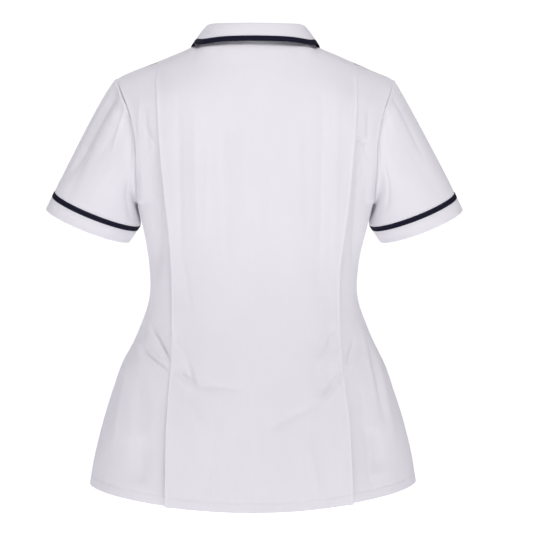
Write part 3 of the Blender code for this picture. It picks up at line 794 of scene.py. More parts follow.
def hips_turned(points):
    """Points of the body of the tunic, moved and turned with the wearer's hips."""
    height = points[..., 2]

    def share(heights):
        return smooth_step((heights[0] - height) / (heights[0] - heights[1]))

    turn = HIP_TURN * share(HIP_HEIGHTS) + HEM_TURN * share(HEM_HEIGHTS)
    x = points[..., 0] * np.cos(turn) - points[..., 1] * np.sin(turn)
    y = points[..., 0] * np.sin(turn) + points[..., 1] * np.cos(turn)
    return np.stack((x + HIP_SHIFT * share(HIP_HEIGHTS), y, height), axis=-1)


def doubled(distance, width, thick):
    """How thick cloth is that lies double up to a width from its edge."""
    return CLOTH + (thick - CLOTH) * smooth_step((width - distance) / LAYER_END)


def body_panel(node, points, facing, rise, folded=0.0):
    """A panel of the body from its smooth form, its relief and its folded edges' thickness."""
    from_hem = walked(points, 0)
    rise = rise + stitched(from_hem, HEM_DEPTH, points[..., 0])
    thickness = np.maximum(doubled(from_hem, HEM_DEPTH + HEM_TURN_UP, HEM_CLOTH), folded)
    seam = CLOTH / 2
    lifted = inset(moved(points, facing, rise), last_row=seam, last_column=seam)
    outer = hips_turned(lifted)
    deeper = hips_turned(lifted - facing)
    return Panel(node, outer, unit(outer - deeper), thickness, False, "white_cloth")


def from_seam(points):
    """How far each point of a body panel is from its armhole or side seam."""
    return walked(points, 1, True)


def shoulder_ease(heights, distance):
    """How far the cloth on both sides of the armhole seam is rounded down over the shoulder."""
    near = np.maximum(0, 1 - distance / EASE_REACH) ** 2
    return -SHOULDER_EASE * smooth_step((heights - EASE_BOTTOM) / EASE_BLEND) * near


def armhole_roll(points):
    """How far the edge beside the armhole stands up over its seam allowances, or eases down."""
    heights, distance = points[..., 2], from_seam(points)
    above = smooth_step((heights - ROLL_BOTTOM) / ROLL_BLEND)
    above *= smooth_step((ROLL_TOP - heights) / ROLL_BLEND)
    roll = ARMHOLE_ROLL * above * np.exp(-((distance / ARMHOLE_ROLL_REACH) ** 2))
    return roll + shoulder_ease(heights, distance)


def back_panels(columns, back, normals):
    """The back centre panel and the side panels that run on under its pleats."""
    pleat = index_of(columns, PLEAT_COLUMN)
    under = index_of(columns, UNDERLAY_COLUMN)
    share = opening_share(back[..., 2])
    near_edge = smooth_step((columns - PLEAT_COLUMN + LIFT_REACH) / LIFT_REACH)
    lift = PLEAT_LIFT * share * near_edge
    halves = []
    for sign in (-1, 1):
        points = back[:, : pleat + 1] * (sign, 1, 1)
        facing = normals[:, : pleat + 1] * (sign, 1, 1)
        rise = lift[:, : pleat + 1] + creased(points, ("back", "centre"))
        roll = FOLD_ROLL * smooth_step((FOLD_ROLL_TOP - points[..., 2]) / ROLL_BLEND)
        rise += roll * np.exp(-((walked(points, 1, True) / FOLD_ROLL_REACH) ** 2))
        halves.append((points, facing, rise))
    points, facing, rise = (
        np.concatenate((right[:, :0:-1], left), axis=1) for right, left in zip(*halves)
    )
    from_fold = np.minimum(walked(points, 1), walked(points, 1, True))
    folded = doubled(from_fold, PLEAT_FOLD_WIDTH, FOLDED)
    panels = [body_panel("back_centre", points, facing, rise, folded)]

    away = smooth_step((columns - PLEAT_COLUMN) / VALLEY_REACH)
    below_tack = smooth_step((TACK_HEIGHT - back[..., 2]) / VALLEY_BLEND)
    valley = SHALLOW_VALLEY + (PLEAT_VALLEY - SHALLOW_VALLEY) * below_tack
    drop = (WALL + PLEAT_GAP + valley * share) * (1 - away)
    for sign, side in SIDES:
        points = back[:, under:] * (sign, 1, 1)
        fade = smooth_step(from_seam(points) / CREASE_EDGE)
        rise = creased(points, ("back", f"side_{side}")) * fade
        rise += armhole_roll(points) - drop[:, under:]
        facing = normals[:, under:] * (sign, 1, 1)
        panels.append(body_panel(f"back_side_{side}", points, facing, rise))
    return panels


def front_panels(columns, front, normals):
    """The two fronts. The wearer's right front laps over the left one."""
    panels = []
    for sign, side in SIDES:
        points = front * (sign, 1, 1)
        fade = smooth_step(columns / LAP_REACH) * smooth_step(from_seam(points) / CREASE_EDGE)
        rise = creased(points, ("front", f"front_{side}")) * fade + armhole_roll(points)
        if side == "left":
            rise -= LAP_DROP * (1 - smooth_step((columns - LAP) / (LAP_REACH - LAP)))
        folded = doubled(walked(points, 1), STAND_FOLD_WIDTH, FOLDED)
        facing = normals * (sign, 1, 1)
        panels.append(body_panel(f"front_{side}", points, facing, rise, folded))
    return panels


def armhole_loop(rows, back, back_normals, front, front_normals):
    """The armhole's points and their normals, from the shoulder down the back, up the front."""
    first = index_of(rows, ARMPIT)
    points = np.concatenate((back[:first:-1, -1], front[first:-1, -1]))
    facing = np.concatenate((back_normals[:first:-1, -1], front_normals[first:-1, -1]))
    return points, facing


def sleeve_ring(ring, angles):
    """Points round a sleeve, at angles from its outer side through the back."""
    behind = unit(np.cross(SLEEVE_ACROSS, SLEEVE_DOWN))
    centre = np.array((ring.x, ring.y, ring.z))
    around = SLEEVE_ACROSS * np.cos(angles)[:, None] * ring.across
    return centre + around + behind * np.sin(angles)[:, None] * ring.deep


def sleeve_relief(angles, share, side):
    """How far the sleeve's folds and creases move each point of a ring outwards."""
    turn = np.degrees(angles)
    relief = np.zeros(len(angles))
    for fold in SLEEVE_FOLDS:
        round_it = np.exp(-(((turn - fold.turn) / fold.turn_reach) ** 2))
        down_it = math.exp(-(((share - fold.share) / fold.share_reach) ** 2))
        relief += fold.depth * round_it * down_it
    relief *= smooth_step(share / SLEEVE_FOLD_FADE)
    scale = np.array((SLEEVE_GIRTH_PER_DEGREE, SLEEVE_LENGTH))
    across, down = turn * scale[0], np.full(len(turn), share * scale[1])
    for *ends, reach, depth in SLEEVE_CREASES[side]:
        relief += line_relief(across, down, ends[:2] * scale, ends[2:] * scale, reach, depth)
    beside_seam = (share * SLEEVE_LENGTH - SLEEVE_DIP_AT) / SLEEVE_DIP_REACH
    off_top = smooth_step(abs(np.sin(angles)) / SLEEVE_DIP_TURN)
    relief -= SLEEVE_DIP * off_top * math.exp(-(beside_seam**2))
    return relief * smooth_step(share / SLEEVE_SEAM_FADE)


def sleeve_grid(loop, facing, side):
    """The sleeve's rows from the armhole to the hem, its band's and its hem band's with them."""
    count = len(loop)
    step = np.linalg.norm(np.roll(loop, -1, axis=0) - loop, axis=1)
    half = count // 2
    so_far = np.concatenate(((0.0,), np.cumsum(step)))
    down = so_far[: half + 1] / so_far[half]
    up = (so_far[half + 1 : count] - so_far[half]) / (so_far[count] - so_far[half])
    angles = np.concatenate((down, 1 + up)) * math.pi

    tangent = unit(np.roll(loop, -1, axis=0) - np.roll(loop, 1, axis=0))
    away = unit(np.cross(tangent, facing))
    start = loop + away * SEAM_GAP / 2
    end = sleeve_ring(BAND_RING, angles)
    hem = sleeve_ring(HEM_RING, angles)
    chord = np.linalg.norm(end - start, axis=1, keepdims=True)
    top, bottom = UNDERARM_HEIGHTS
    low = smooth_step((top - loop[:, 2]) / (top - bottom))[:, None]
    pull = CAP_PULL[side] + (ARMPIT_PULL - CAP_PULL[side]) * low
    leave = chord * (away * pull + np.array((ARMPIT_OUT, 0.0, 0.0)) * low)
    arrive = unit(hem - end) * chord * BAND_PULL

    near_seam = np.linspace(0, SEAM_SHARE, SEAM_ROW_COUNT)[:-1]
    beyond = np.linspace(SEAM_SHARE, 1, SLEEVE_ROW_COUNT)[:-1]
    shares = np.concatenate((near_seam, beyond, (1 - NEAR_EDGE / 2, 1)))
    rows = [hermite(start, end, leave, arrive, share) for share in shares]
    below = (steps(0, BAND_SHARE, SLEEVE_BAND_ROWS), steps(BAND_SHARE, 1, SLEEVE_HEM_ROWS))
    rows += [end + (hem - end) * share for share in np.concatenate(below)]
    grid = np.array(rows)
    normals = unit(-grid_normals(grid, closed=True))
    normals[0] = facing
    for row, share in enumerate(shares):
        relief = sleeve_relief(angles, share, side)
        relief += shoulder_ease(loop[:, 2], share * SLEEVE_LENGTH)
        grid[row] = moved(grid[row], normals[row], relief)
    return grid, normals


def edge_relief(node, points, along):
    """How far the stitching along a piece's first and last rows moves its cloth."""
    relief = np.zeros(points.shape[:2])
    for edge, distance, strength in EDGE_STITCHES.get(node, ()):
        relief += stitched(walked(points, 0, edge == "last_row"), distance, along) * strength
    return relief


def sleeve_panels(loop, facing):
    """Both sleeves, each with its contrast band and the hem band below it."""
    panels = []
    for turn, side in SIDES:
        grid, normals = sleeve_grid(loop, facing, side)
        grid, normals = grid * (turn, 1, 1), normals * (turn, 1, 1)
        end = len(grid) - 1 - SLEEVE_HEM_ROWS
        band = end - SLEEVE_BAND_ROWS
        along = walked(grid, 1)
        pieces = (
            ("sleeve", slice(0, band + 1), 0.0, CLOTH, "white_cloth"),
            ("sleeve_band", slice(band, end + 1), BAND_RISE, CLOTH + BAND_RISE, "navy_cloth"),
            ("sleeve_hem", slice(end, None), HEM_RISE, CUFF_CLOTH, "white_cloth"),
        )
        for name, part, rise, cloth, slot in pieces:
            points, outwards = grid[part], normals[part]
            relief = rise + edge_relief(name, points, along[part])
            first_row = cloth / 2 if name != "sleeve" else 0.0
            outer = inset(moved(points, outwards, relief), first_row, cloth / 2)
            thickness = np.full(points.shape[:2], cloth)
            panels.append(Panel(f"{name}_{side}", outer, outwards, thickness, True, slot))
    return panels


def collar_knots():
    """The collar's middle surface: lines across it from the stand over the fold to the edge."""
    table = np.array(COLLAR_ROWS)
    table = np.concatenate((table[:0:-1] * (-1, -1, 1, 1, -1, 1, 1), table))
    last = len(table) - 1
    at = with_edges(np.linspace(0, last, 2 * COLLAR_ANGLE_STEPS + 1))
    rows = spline(table, at)
    angle = np.radians(rows[:, 0])
    fold, edge = rows[:, 1:4], rows[:, 4:7]
    seam = neckline(np.abs(angle))
    seam[:, 0] *= np.sign(angle)
    out = unit(seam * (1, 1, 0))
    up = np.array((0.0, 0.0, 1.0))
    at_lap = smooth_step((np.abs(rows[:, 0]) - LAP_ANGLE) / (180 - LAP_ANGLE))[:, None]
    inward = STAND_INSET + (STAND_INSET_AT_LAP - STAND_INSET) * at_lap
    base = seam - out * inward - up * STAND_LAP
    fall = unit(edge - fold)
    rise = unit(fold - base)
    knots = (
        base,
        (base + fold) / 2,
        fold - (rise * FOLD_EASE + out * FOLD_INWARD) * FOLD_RADIUS,
        fold,
        fold + (fall * FOLD_EASE + out * FOLD_OUTWARD) * FOLD_RADIUS,
        (fold + edge) / 2 + out * FALL_BELLY,
        edge,
    )
    return np.array(knots)


def collar_panels():
    """The collar and the binding along its edge."""
    knots = collar_knots()
    edge, middle = knots[-1], knots[-2]
    joint = edge + unit(middle - edge) * TRIM_WIDTH
    stand, turn, fall = COLLAR_SECTION
    section = np.concatenate((np.linspace(0, 2, stand + 1), steps(2, 4, turn), steps(4, 5, fall)))
    rows = [*spline(knots, section)]
    for start, end in ((middle, joint), (joint, edge)):
        rows += [start + (end - start) * share for share in steps(0, 1, COLLAR_EDGE_ROWS)]
    rows = np.array(rows)
    normals = unit(grid_normals(rows))
    at_joint = len(rows) - COLLAR_EDGE_ROWS - 1
    panels = []
    pieces = (
        ("collar", slice(0, at_joint + 1), COLLAR_CLOTH, "white_cloth"),
        ("collar_trim", slice(at_joint, None), TRIM_CLOTH, "navy_cloth"),
    )
    for name, part, cloth, slot in pieces:
        points, outwards = rows[part], normals[part]
        relief = cloth / 2 + edge_relief(name, points, walked(points, 1))
        first_row = cloth / 2 if name == "collar_trim" else 0.0
        outer = inset(moved(points, outwards, relief), first_row, cloth / 2, cloth / 2, cloth / 2)
        thickness = np.full(points.shape[:2], cloth)
        panels.append(Panel(name, outer, outwards, thickness, False, slot))
    return panels


@lru_cache(maxsize=1)
def cloth_panels():
    """Every cloth piece of the tunic by the name of the solid that it stands for."""
    rows, on_back, on_front = body_rows(), back_columns(), front_columns()
    back, back_normals, front, front_normals = torso(rows, on_back, on_front)
    panels = back_panels(on_back, back, back_normals)
    panels += front_panels(on_front, front, front_normals)
    loop, facing = armhole_loop(rows, back, back_normals, front, front_normals)
    panels += sleeve_panels(loop, facing)
    panels += collar_panels()
    return {panel.node: panel for panel in panels}


def cloth_uv(outer, closed):
    """Each point's place on the cloth laid flat, in metres. A closed grid gets one column more."""
    if closed:
        outer = np.concatenate((outer, outer[:, :1]), axis=1)
    across = walked(outer, 1)
    down = walked(outer, 0).mean(axis=1, keepdims=True)
    return np.stack((across, np.broadcast_to(down, across.shape)), axis=-1) * MM


def grid_mesh(name, points, uv, goes_round_rows, goes_round_columns):
    """A mesh of a grid of points. uv has one more row or column where the grid goes round."""
    index = np.arange(points.shape[0] * points.shape[1]).reshape(points.shape[:2])
    if goes_round_rows:
        index = np.concatenate((index, index[:1]), axis=0)
    if goes_round_columns:
        index = np.concatenate((index, index[:, :1]), axis=1)
    corners = ((slice(0, -1), slice(0, -1)), (slice(0, -1), slice(1, None)))
    corners += ((slice(1, None), slice(1, None)), (slice(1, None), slice(0, -1)))
    faces = np.stack([index[corner] for corner in corners], axis=-1).reshape(-1, 4)
    places = np.stack([uv[corner] for corner in corners], axis=2).reshape(-1, 2)
    mesh = bpy.data.meshes.new(name)
    mesh.from_pydata((points.reshape(-1, 3) * MM).tolist(), [], faces.tolist())
    layer = mesh.uv_layers.new(name="cloth")
    layer.data.foreach_set("uv", places.ravel())
    return mesh


def closed_up(mesh):
    """Merge the points that meet along a mesh's closing lines and turn its faces outwards."""
    shape = bmesh.new()
    shape.from_mesh(mesh)
    bmesh.ops.remove_doubles(shape, verts=shape.verts, dist=MERGE_DISTANCE)
    bmesh.ops.recalc_face_normals(shape, faces=shape.faces)
    shape.to_mesh(mesh)
    shape.free()
    mesh.shade_smooth()


def add_piece(name, mesh, material):
    """Link a mesh as a named piece with its finish."""
    mesh.materials.clear()
    mesh.materials.append(material)
    piece = bpy.data.objects.new(name, mesh)
    bpy.context.scene.collection.objects.link(piece)
    return piece


def edge_rims(outer, middle, half):
    """The rounded edges past a panel's last row and its first."""
    size = np.linalg.norm(half, axis=-1, keepdims=True)
    rims = []
    for end, beside, angles in ((-1, -2, RIM_ANGLES), (0, 1, RIM_ANGLES[::-1])):
        out = unit(outer[end] - outer[beside]) * size[end]
        rim = [middle[end] + half[end] * math.cos(a) + out * math.sin(a) for a in angles]
        rims.append(np.array(rim))
    return rims


def tube_mesh(name, panel):
    """A cloth tube with rounded edges at both its ends."""
    outer, inner = panel.outer, moved(panel.outer, panel.normals, -panel.thickness)
    uv = cloth_uv(outer, True)
    rims = edge_rims(outer, (outer + inner) / 2, (outer - inner) / 2)
    rows = np.concatenate((outer, rims[0], inner[::-1], rims[1]))
    last, first = (np.repeat(line, len(RIM_ANGLES), axis=0) for line in (uv[-1:], uv[:1]))
    places = np.concatenate((uv, last, uv[::-1], first, uv[:1]))
    mesh = grid_mesh(name, rows, places, True, True)
    closed_up(mesh)
    return mesh


def sheet_mesh(name, panel):
    """A cloth panel with rounded edges all round."""
    outer, inner = panel.outer, moved(panel.outer, panel.normals, -panel.thickness)
    uv = cloth_uv(outer, False)
    middle, half = (outer + inner) / 2, (outer - inner) / 2
    size = np.linalg.norm(half, axis=-1, keepdims=True)
    rims = edge_rims(*(grid.swapaxes(0, 1) for grid in (outer, middle, half)))

    def ring(on_outer, on_inner, last, first):
        return np.concatenate((on_outer, last, on_inner[:, ::-1], first), axis=1)

    def beside_ends(grid):
        return (np.repeat(end, len(RIM_ANGLES), axis=1) for end in (grid[:, -1:], grid[:, :1]))

    around = ring(outer, inner, *(rim.swapaxes(0, 1) for rim in rims))
    core = ring(middle, middle, *beside_ends(middle))
    reach = ring(size, size, *beside_ends(size))
    places = ring(uv, uv, *beside_ends(uv))
    places = np.concatenate((places, places[:, :1]), axis=1)
    caps = []
    for end, beside, angles in ((0, 1, RIM_ANGLES[1::-1]), (-1, -2, RIM_ANGLES[:2])):
        out = unit(core[end] - core[beside]) * reach[end]
        towards = around[end] - core[end]
        caps.append([core[end] + towards * math.cos(a) + out * math.sin(a) for a in angles])
    rows = np.concatenate((caps[0], around, caps[1]))
    first, last = (np.repeat(line, 2, axis=0) for line in (places[:1], places[-1:]))
    mesh = grid_mesh(name, rows, np.concatenate((first, places, last)), False, True)
    closed_up(mesh)
    return mesh


def make_cloth(node):
    """The shell that stands for a cloth solid, in the finish of its slot."""
    panel = cloth_panels()[node]
    name = f"{node}_cloth"
    mesh = tube_mesh(name, panel) if panel.closed else sheet_mesh(name, panel)
    piece = add_piece(name, mesh, finish_named(panel.slot))
    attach(piece, "root")
    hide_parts(node)


def add_socket(tree, name, kind, puts_out=False, default=None):
    """A named input or output of a node group."""
    in_out = "OUTPUT" if puts_out else "INPUT"
    socket = tree.interface.new_socket(name, in_out=in_out, socket_type=kind)
    if default is not None:
        socket.default_value = default


def add_math(tree, operation, *values):
    """A maths node on sockets or numbers; its result."""
    node = tree.nodes.new("ShaderNodeMath")
    node.operation = operation
    for socket, value in zip(node.inputs, values):
        if isinstance(value, bpy.types.NodeSocket):
            tree.links.new(value, socket)
        else:
            socket.default_value = value
    return node.outputs[0]


def set_values(node, values):
    """Set a node's inputs by their names."""
    for name, value in values.items():
        node.inputs[name].default_value = value


def add_noise(tree, vector, detail, scale=1.0):
    """A noise texture whose scale is a number or a socket; its result."""
    noise = tree.nodes.new("ShaderNodeTexNoise")
    tree.links.new(vector, noise.inputs["Vector"])
    if isinstance(scale, bpy.types.NodeSocket):
        tree.links.new(scale, noise.inputs["Scale"])
    else:
        noise.inputs["Scale"].default_value = scale
    noise.inputs["Detail"].default_value = detail
    return noise.outputs["Fac"]


def add_bump(tree, height, strength, distance, below=None):
    """A bump from a height, over another bump's normal where one is given; its result."""
    bump = tree.nodes.new("ShaderNodeBump")
    set_values(bump, {"Strength": strength, "Distance": distance})
    tree.links.new(height, bump.inputs["Height"])
    if below is not None:
        tree.links.new(below, bump.inputs["Normal"])
    return bump.outputs["Normal"]


def twill_group():
    """Shader group: the height of a fine twill on the cloth's own UV map, and a mask of its
    yarns that differ a little."""
    if "twill" in bpy.data.node_groups:
        return bpy.data.node_groups["twill"]
    tree = bpy.data.node_groups.new("twill", "ShaderNodeTree")
    add_socket(tree, "Vector", "NodeSocketVector")
    add_socket(tree, "Yarns per Metre", "NodeSocketFloat", default=2400.0)
    add_socket(tree, "Height", "NodeSocketFloat", True)
    add_socket(tree, "Yarn Mask", "NodeSocketFloat", True)
    start = tree.nodes.new("NodeGroupInput")
    end = tree.nodes.new("NodeGroupOutput")
    scale = tree.nodes.new("ShaderNodeVectorMath")
    scale.operation = "SCALE"
    tree.links.new(start.outputs["Vector"], scale.inputs[0])
    tree.links.new(start.outputs["Yarns per Metre"], scale.inputs["Scale"])
    split = tree.nodes.new("ShaderNodeSeparateXYZ")
    tree.links.new(scale.outputs[0], split.inputs[0])
    diagonal = add_math(tree, "ADD", split.outputs["X"], split.outputs["Y"])
    ridge = add_math(tree, "SINE", add_math(tree, "MULTIPLY", diagonal, math.pi))
    yarn = add_math(tree, "SINE", add_math(tree, "MULTIPLY", split.outputs["X"], 2 * math.pi))
    height = add_math(tree, "MULTIPLY_ADD", yarn, YARN_SHARE, ridge)
    tree.links.new(height, end.inputs["Height"])
    stretch = tree.nodes.new("ShaderNodeVectorMath")
    stretch.operation = "MULTIPLY"
    stretch.inputs[1].default_value = YARN_STREAKS
    tree.links.new(scale.outputs[0], stretch.inputs[0])
    tree.links.new(add_noise(tree, stretch.outputs[0], 3.0), end.inputs["Yarn Mask"])
    return tree


def handled_group():
    """Shader group: soft patches where cloth has been pressed and handled, and the height of
    the faint crumple that this leaves."""
    if "handled" in bpy.data.node_groups:
        return bpy.data.node_groups["handled"]
    tree = bpy.data.node_groups.new("handled", "ShaderNodeTree")
    add_socket(tree, "Vector", "NodeSocketVector")
    add_socket(tree, "Patch Scale", "NodeSocketFloat", default=9.0)
    add_socket(tree, "Crumple Scale", "NodeSocketFloat", default=55.0)
    add_socket(tree, "Patches", "NodeSocketFloat", True)
    add_socket(tree, "Crumple", "NodeSocketFloat", True)
    start = tree.nodes.new("NodeGroupInput")
    end = tree.nodes.new("NodeGroupOutput")
    layers = (("Patch Scale", 3.0, "Patches"), ("Crumple Scale", 4.0, "Crumple"))
    for scale, detail, result in layers:
        noise = add_noise(tree, start.outputs["Vector"], detail, start.outputs[scale])
        tree.links.new(noise, end.inputs[result])
    return tree


def place_group(tree, group, location):
    """A node that uses a shader group in a material."""
    node = tree.nodes.new("ShaderNodeGroup")
    node.node_tree = group
    node.location = location
    return node


def mix_colours(tree, factor, first, second):
    """A node that mixes two colours by a value; its result."""
    node = tree.nodes.new("ShaderNodeMix")
    node.data_type = "RGBA"
    tree.links.new(factor, node.inputs["Factor"])
    node.inputs[6].default_value = first
    node.inputs[7].default_value = second
    return node.outputs[2]


def new_finish(name):
    """A new material, its node tree, its shader and the place on the object as a socket."""
    material = bpy.data.materials.new(name)
    material.use_nodes = True
    tree = material.node_tree
    spot = tree.nodes.new("ShaderNodeTexCoord").outputs["Object"]
    return material, tree, tree.nodes["Principled BSDF"], spot


def cloth_material(name, colour, shade, yarns, weave_depth, sheen):
    """Woven cloth: colour that shifts a little over the yarns, twill relief and faint crumple."""
    material, tree, shader, spot = new_finish(name)
    place = tree.nodes.new("ShaderNodeUVMap")
    place.uv_map = "cloth"
    twill = place_group(tree, twill_group(), (-600, 200))
    twill.inputs["Yarns per Metre"].default_value = yarns
    tree.links.new(place.outputs["UV"], twill.inputs["Vector"])
    handled = place_group(tree, handled_group(), (-600, -100))
    tree.links.new(spot, handled.inputs["Vector"])
    patches = add_math(tree, "MULTIPLY_ADD", handled.outputs["Patches"], 0.6, 0.1)
    mask = add_math(tree, "MULTIPLY_ADD", twill.outputs["Yarn Mask"], 0.4, patches)
    tree.links.new(mix_colours(tree, mask, shade, colour), shader.inputs["Base Color"])
    rough = add_math(tree, "MULTIPLY_ADD", handled.outputs["Patches"], 0.12, 0.78)
    tree.links.new(rough, shader.inputs["Roughness"])
    weave = add_bump(tree, twill.outputs["Height"], 0.5, weave_depth)
    crumple = add_bump(tree, handled.outputs["Crumple"], 0.35, 0.0006, weave)
    tree.links.new(crumple, shader.inputs["Normal"])
    sheens = {"Sheen Weight": sheen, "Sheen Roughness": 0.45}
    set_values(shader, {**sheens, "Specular IOR Level": CLOTH_SHINE})
    return material


def thread_material(name, colour, shade):
    """Twisted sewing thread."""
    material, tree, shader, spot = new_finish(name)
    twist = tree.nodes.new("ShaderNodeTexWave")
    twist.bands_direction = "DIAGONAL"
    twist.inputs["Scale"].default_value = 900.0
    tree.links.new(spot, twist.inputs["Vector"])
    colours = mix_colours(tree, twist.outputs["Fac"], shade, colour)
    tree.links.new(colours, shader.inputs["Base Color"])
    tree.links.new(add_bump(tree, twist.outputs["Fac"], 0.4, 0.00008), shader.inputs["Normal"])
    set_values(shader, {"Roughness": 0.55, "Sheen Weight": 0.2})
    return material


def button_material(name, colour, shade):
    """Satin moulded plastic with a faint pearl cloud and finer scratches."""
    material, tree, shader, spot = new_finish(name)
    handled = place_group(tree, handled_group(), (-600, 0))
    set_values(handled, {"Patch Scale": 160.0, "Crumple Scale": 900.0})
    tree.links.new(spot, handled.inputs["Vector"])
    colours = mix_colours(tree, handled.outputs["Patches"], shade, colour)
    tree.links.new(colours, shader.inputs["Base Color"])
    rough = add_math(tree, "MULTIPLY_ADD", handled.outputs["Crumple"], 0.15, 0.18)
    tree.links.new(rough, shader.inputs["Roughness"])
    scratches = add_bump(tree, handled.outputs["Crumple"], 0.15, 0.00005)
    tree.links.new(scratches, shader.inputs["Normal"])
    set_values(shader, {"Coat Weight": 0.3, "Coat Roughness": 0.15})
    return material


def finish_named(name):
    """The finish of a slot or thread, made on its first use."""
    made = f"{name}_finish"
    if made in bpy.data.materials:
        return bpy.data.materials[made]
    look = bpy.context.scene.tunic_finish
    tint, stuff = name.split("_")
    colours = getattr(look, tint), getattr(look, f"{tint}_shade")
    if stuff == "cloth":
        return cloth_material(made, *colours, *WEAVES[tint])
    if stuff == "thread":
        return thread_material(made, *colours)
    return button_material(made, *colours)


def stitch_tree():
    """Geometry Nodes: small round stitches spaced along the lines of a mesh."""
    if "stitches" in bpy.data.node_groups:
        return bpy.data.node_groups["stitches"]
    tree = bpy.data.node_groups.new("stitches", "GeometryNodeTree")
    add_socket(tree, "Geometry", "NodeSocketGeometry")
    add_socket(tree, "Pitch", "NodeSocketFloat", default=0.0032)
    add_socket(tree, "Stitch Length", "NodeSocketFloat", default=0.0025)
    add_socket(tree, "Thread Radius", "NodeSocketFloat", default=0.00018)
    add_socket(tree, "Thread", "NodeSocketMaterial")
    add_socket(tree, "Geometry", "NodeSocketGeometry", True)
    new, link = tree.nodes.new, tree.links.new
    start, end = new("NodeGroupInput"), new("NodeGroupOutput")
    curve = new("GeometryNodeMeshToCurve")
    link(start.outputs["Geometry"], curve.inputs["Mesh"])
    points = new("GeometryNodeCurveToPoints")
    points.mode = "LENGTH"
    link(curve.outputs["Curve"], points.inputs["Curve"])
    link(start.outputs["Pitch"], points.inputs["Length"])
    turn = new("FunctionNodeAlignRotationToVector")
    turn.axis = "Z"
    link(points.outputs["Tangent"], turn.inputs["Vector"])
    size = new("ShaderNodeCombineXYZ")
    link(start.outputs["Thread Radius"], size.inputs["X"])
    link(start.outputs["Thread Radius"], size.inputs["Y"])
    link(add_math(tree, "MULTIPLY", start.outputs["Stitch Length"], 0.5), size.inputs["Z"])
    stitch = new("GeometryNodeMeshUVSphere")
    set_values(stitch, {"Segments": 6, "Rings": 4, "Radius": 1.0})
    instances = new("GeometryNodeInstanceOnPoints")
    link(points.outputs["Points"], instances.inputs["Points"])
    link(stitch.outputs["Mesh"], instances.inputs["Instance"])
    link(turn.outputs["Rotation"], instances.inputs["Rotation"])
    link(size.outputs[0], instances.inputs["Scale"])
    realize = new("GeometryNodeRealizeInstances")
    smooth = new("GeometryNodeSetShadeSmooth")
    finish = new("GeometryNodeSetMaterial")
    link(instances.outputs["Instances"], realize.inputs["Geometry"])
    link(start.outputs["Thread"], finish.inputs["Material"])
    for before, after in ((realize, smooth), (smooth, finish), (finish, end)):
        link(before.outputs["Geometry"], after.inputs["Geometry"])
    return tree


def mesh_of(thing):
    """The finished mesh of an object, which is then removed."""
    bpy.context.view_layer.update()
    graph = bpy.context.evaluated_depsgraph_get()
    mesh = bpy.data.meshes.new_from_object(thing.evaluated_get(graph))
    bpy.data.objects.remove(thing, do_unlink=True)
    return mesh


def make_stitches(name, lines, thread, slot, pitch, length, radius):
    """One piece of stitches along all the lines, in metres."""
    points, edges = [], []
    for line in lines:
        first = len(points)
        points += (line * MM).tolist()
        edges += [(first + k, first + k + 1) for k in range(len(line) - 1)]
    mesh = bpy.data.meshes.new(f"{name}_lines")
    mesh.from_pydata(points, edges, [])
    guide = bpy.data.objects.new(f"{name}_lines", mesh)
    bpy.context.scene.collection.objects.link(guide)
    modifier = guide.modifiers.new("Stitches", "NODES")
    modifier.node_group = stitch_tree()
    values = {"Pitch": pitch, "Stitch Length": length, "Thread Radius": radius, "Thread": thread}
    for item in modifier.node_group.interface.items_tree:
        if item.name in values:
            modifier[item.identifier] = values[item.name]
    made = mesh_of(guide)
    bpy.data.meshes.remove(mesh)
    made.name = name
    piece = add_piece(name, made, thread)
    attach(piece, "root")


def line_beside(panel, edge, distance):
    """A line over a panel at a distance from its first or last row or column, just above the
    cloth."""
    axis = 0 if edge in ("first_row", "last_row") else 1
    points, normals = panel.outer, panel.normals
    if edge in ("last_row", "last_column"):
        points, normals = np.flip(points, axis), np.flip(normals, axis)
    if axis == 1:
        points, normals = points.swapaxes(0, 1), normals.swapaxes(0, 1)
    off = walked(points, 0)
    line = []
    for column in range(points.shape[1]):
        found, facing = (
            np.array([np.interp(distance, off[:, column], grid[:, column, k]) for k in range(3)])
            for grid in (points, normals)
        )
        line.append(found + facing * THREAD_LIFT)
    if panel.closed:
        line.append(line[0])
    return np.array(line)


def button_plate(look):
    """The middle of a button as a mesh: a thin disc with four holes through it."""
    data = bpy.data.curves.new("plate", "CURVE")
    data.dimensions = "2D"
    data.fill_mode = "BOTH"
    data.extrude = look.plate_thickness / 2
    data.bevel_depth = look.plate_edge
    data.bevel_resolution = 1
    data.resolution_u = 5
    apart = look.hole_spacing / 2
    rings = [(0.0, 0.0, look.plate_radius)]
    rings += [(x, y, look.hole_radius) for x in (-apart, apart) for y in (-apart, apart)]
    reach = 4 / 3 * math.tan(math.pi / 8)
    for x, y, radius in rings:
        outline = data.splines.new("BEZIER")
        outline.bezier_points.add(3)
        outline.use_cyclic_u = True
        for quarter, point in enumerate(outline.bezier_points):
            turn = quarter * math.pi / 2
            spot = Vector((math.cos(turn), math.sin(turn), 0.0)) * radius
            along = Vector((-math.sin(turn), math.cos(turn), 0.0)) * radius * reach
            centre = Vector((x, y, 0.0))
            point.co = centre + spot
            point.handle_left = centre + spot - along
            point.handle_right = centre + spot + along
    made = bpy.data.objects.new("plate", data)
    bpy.context.scene.collection.objects.link(made)
    mesh = mesh_of(made)
    bpy.data.curves.remove(data)
    return mesh


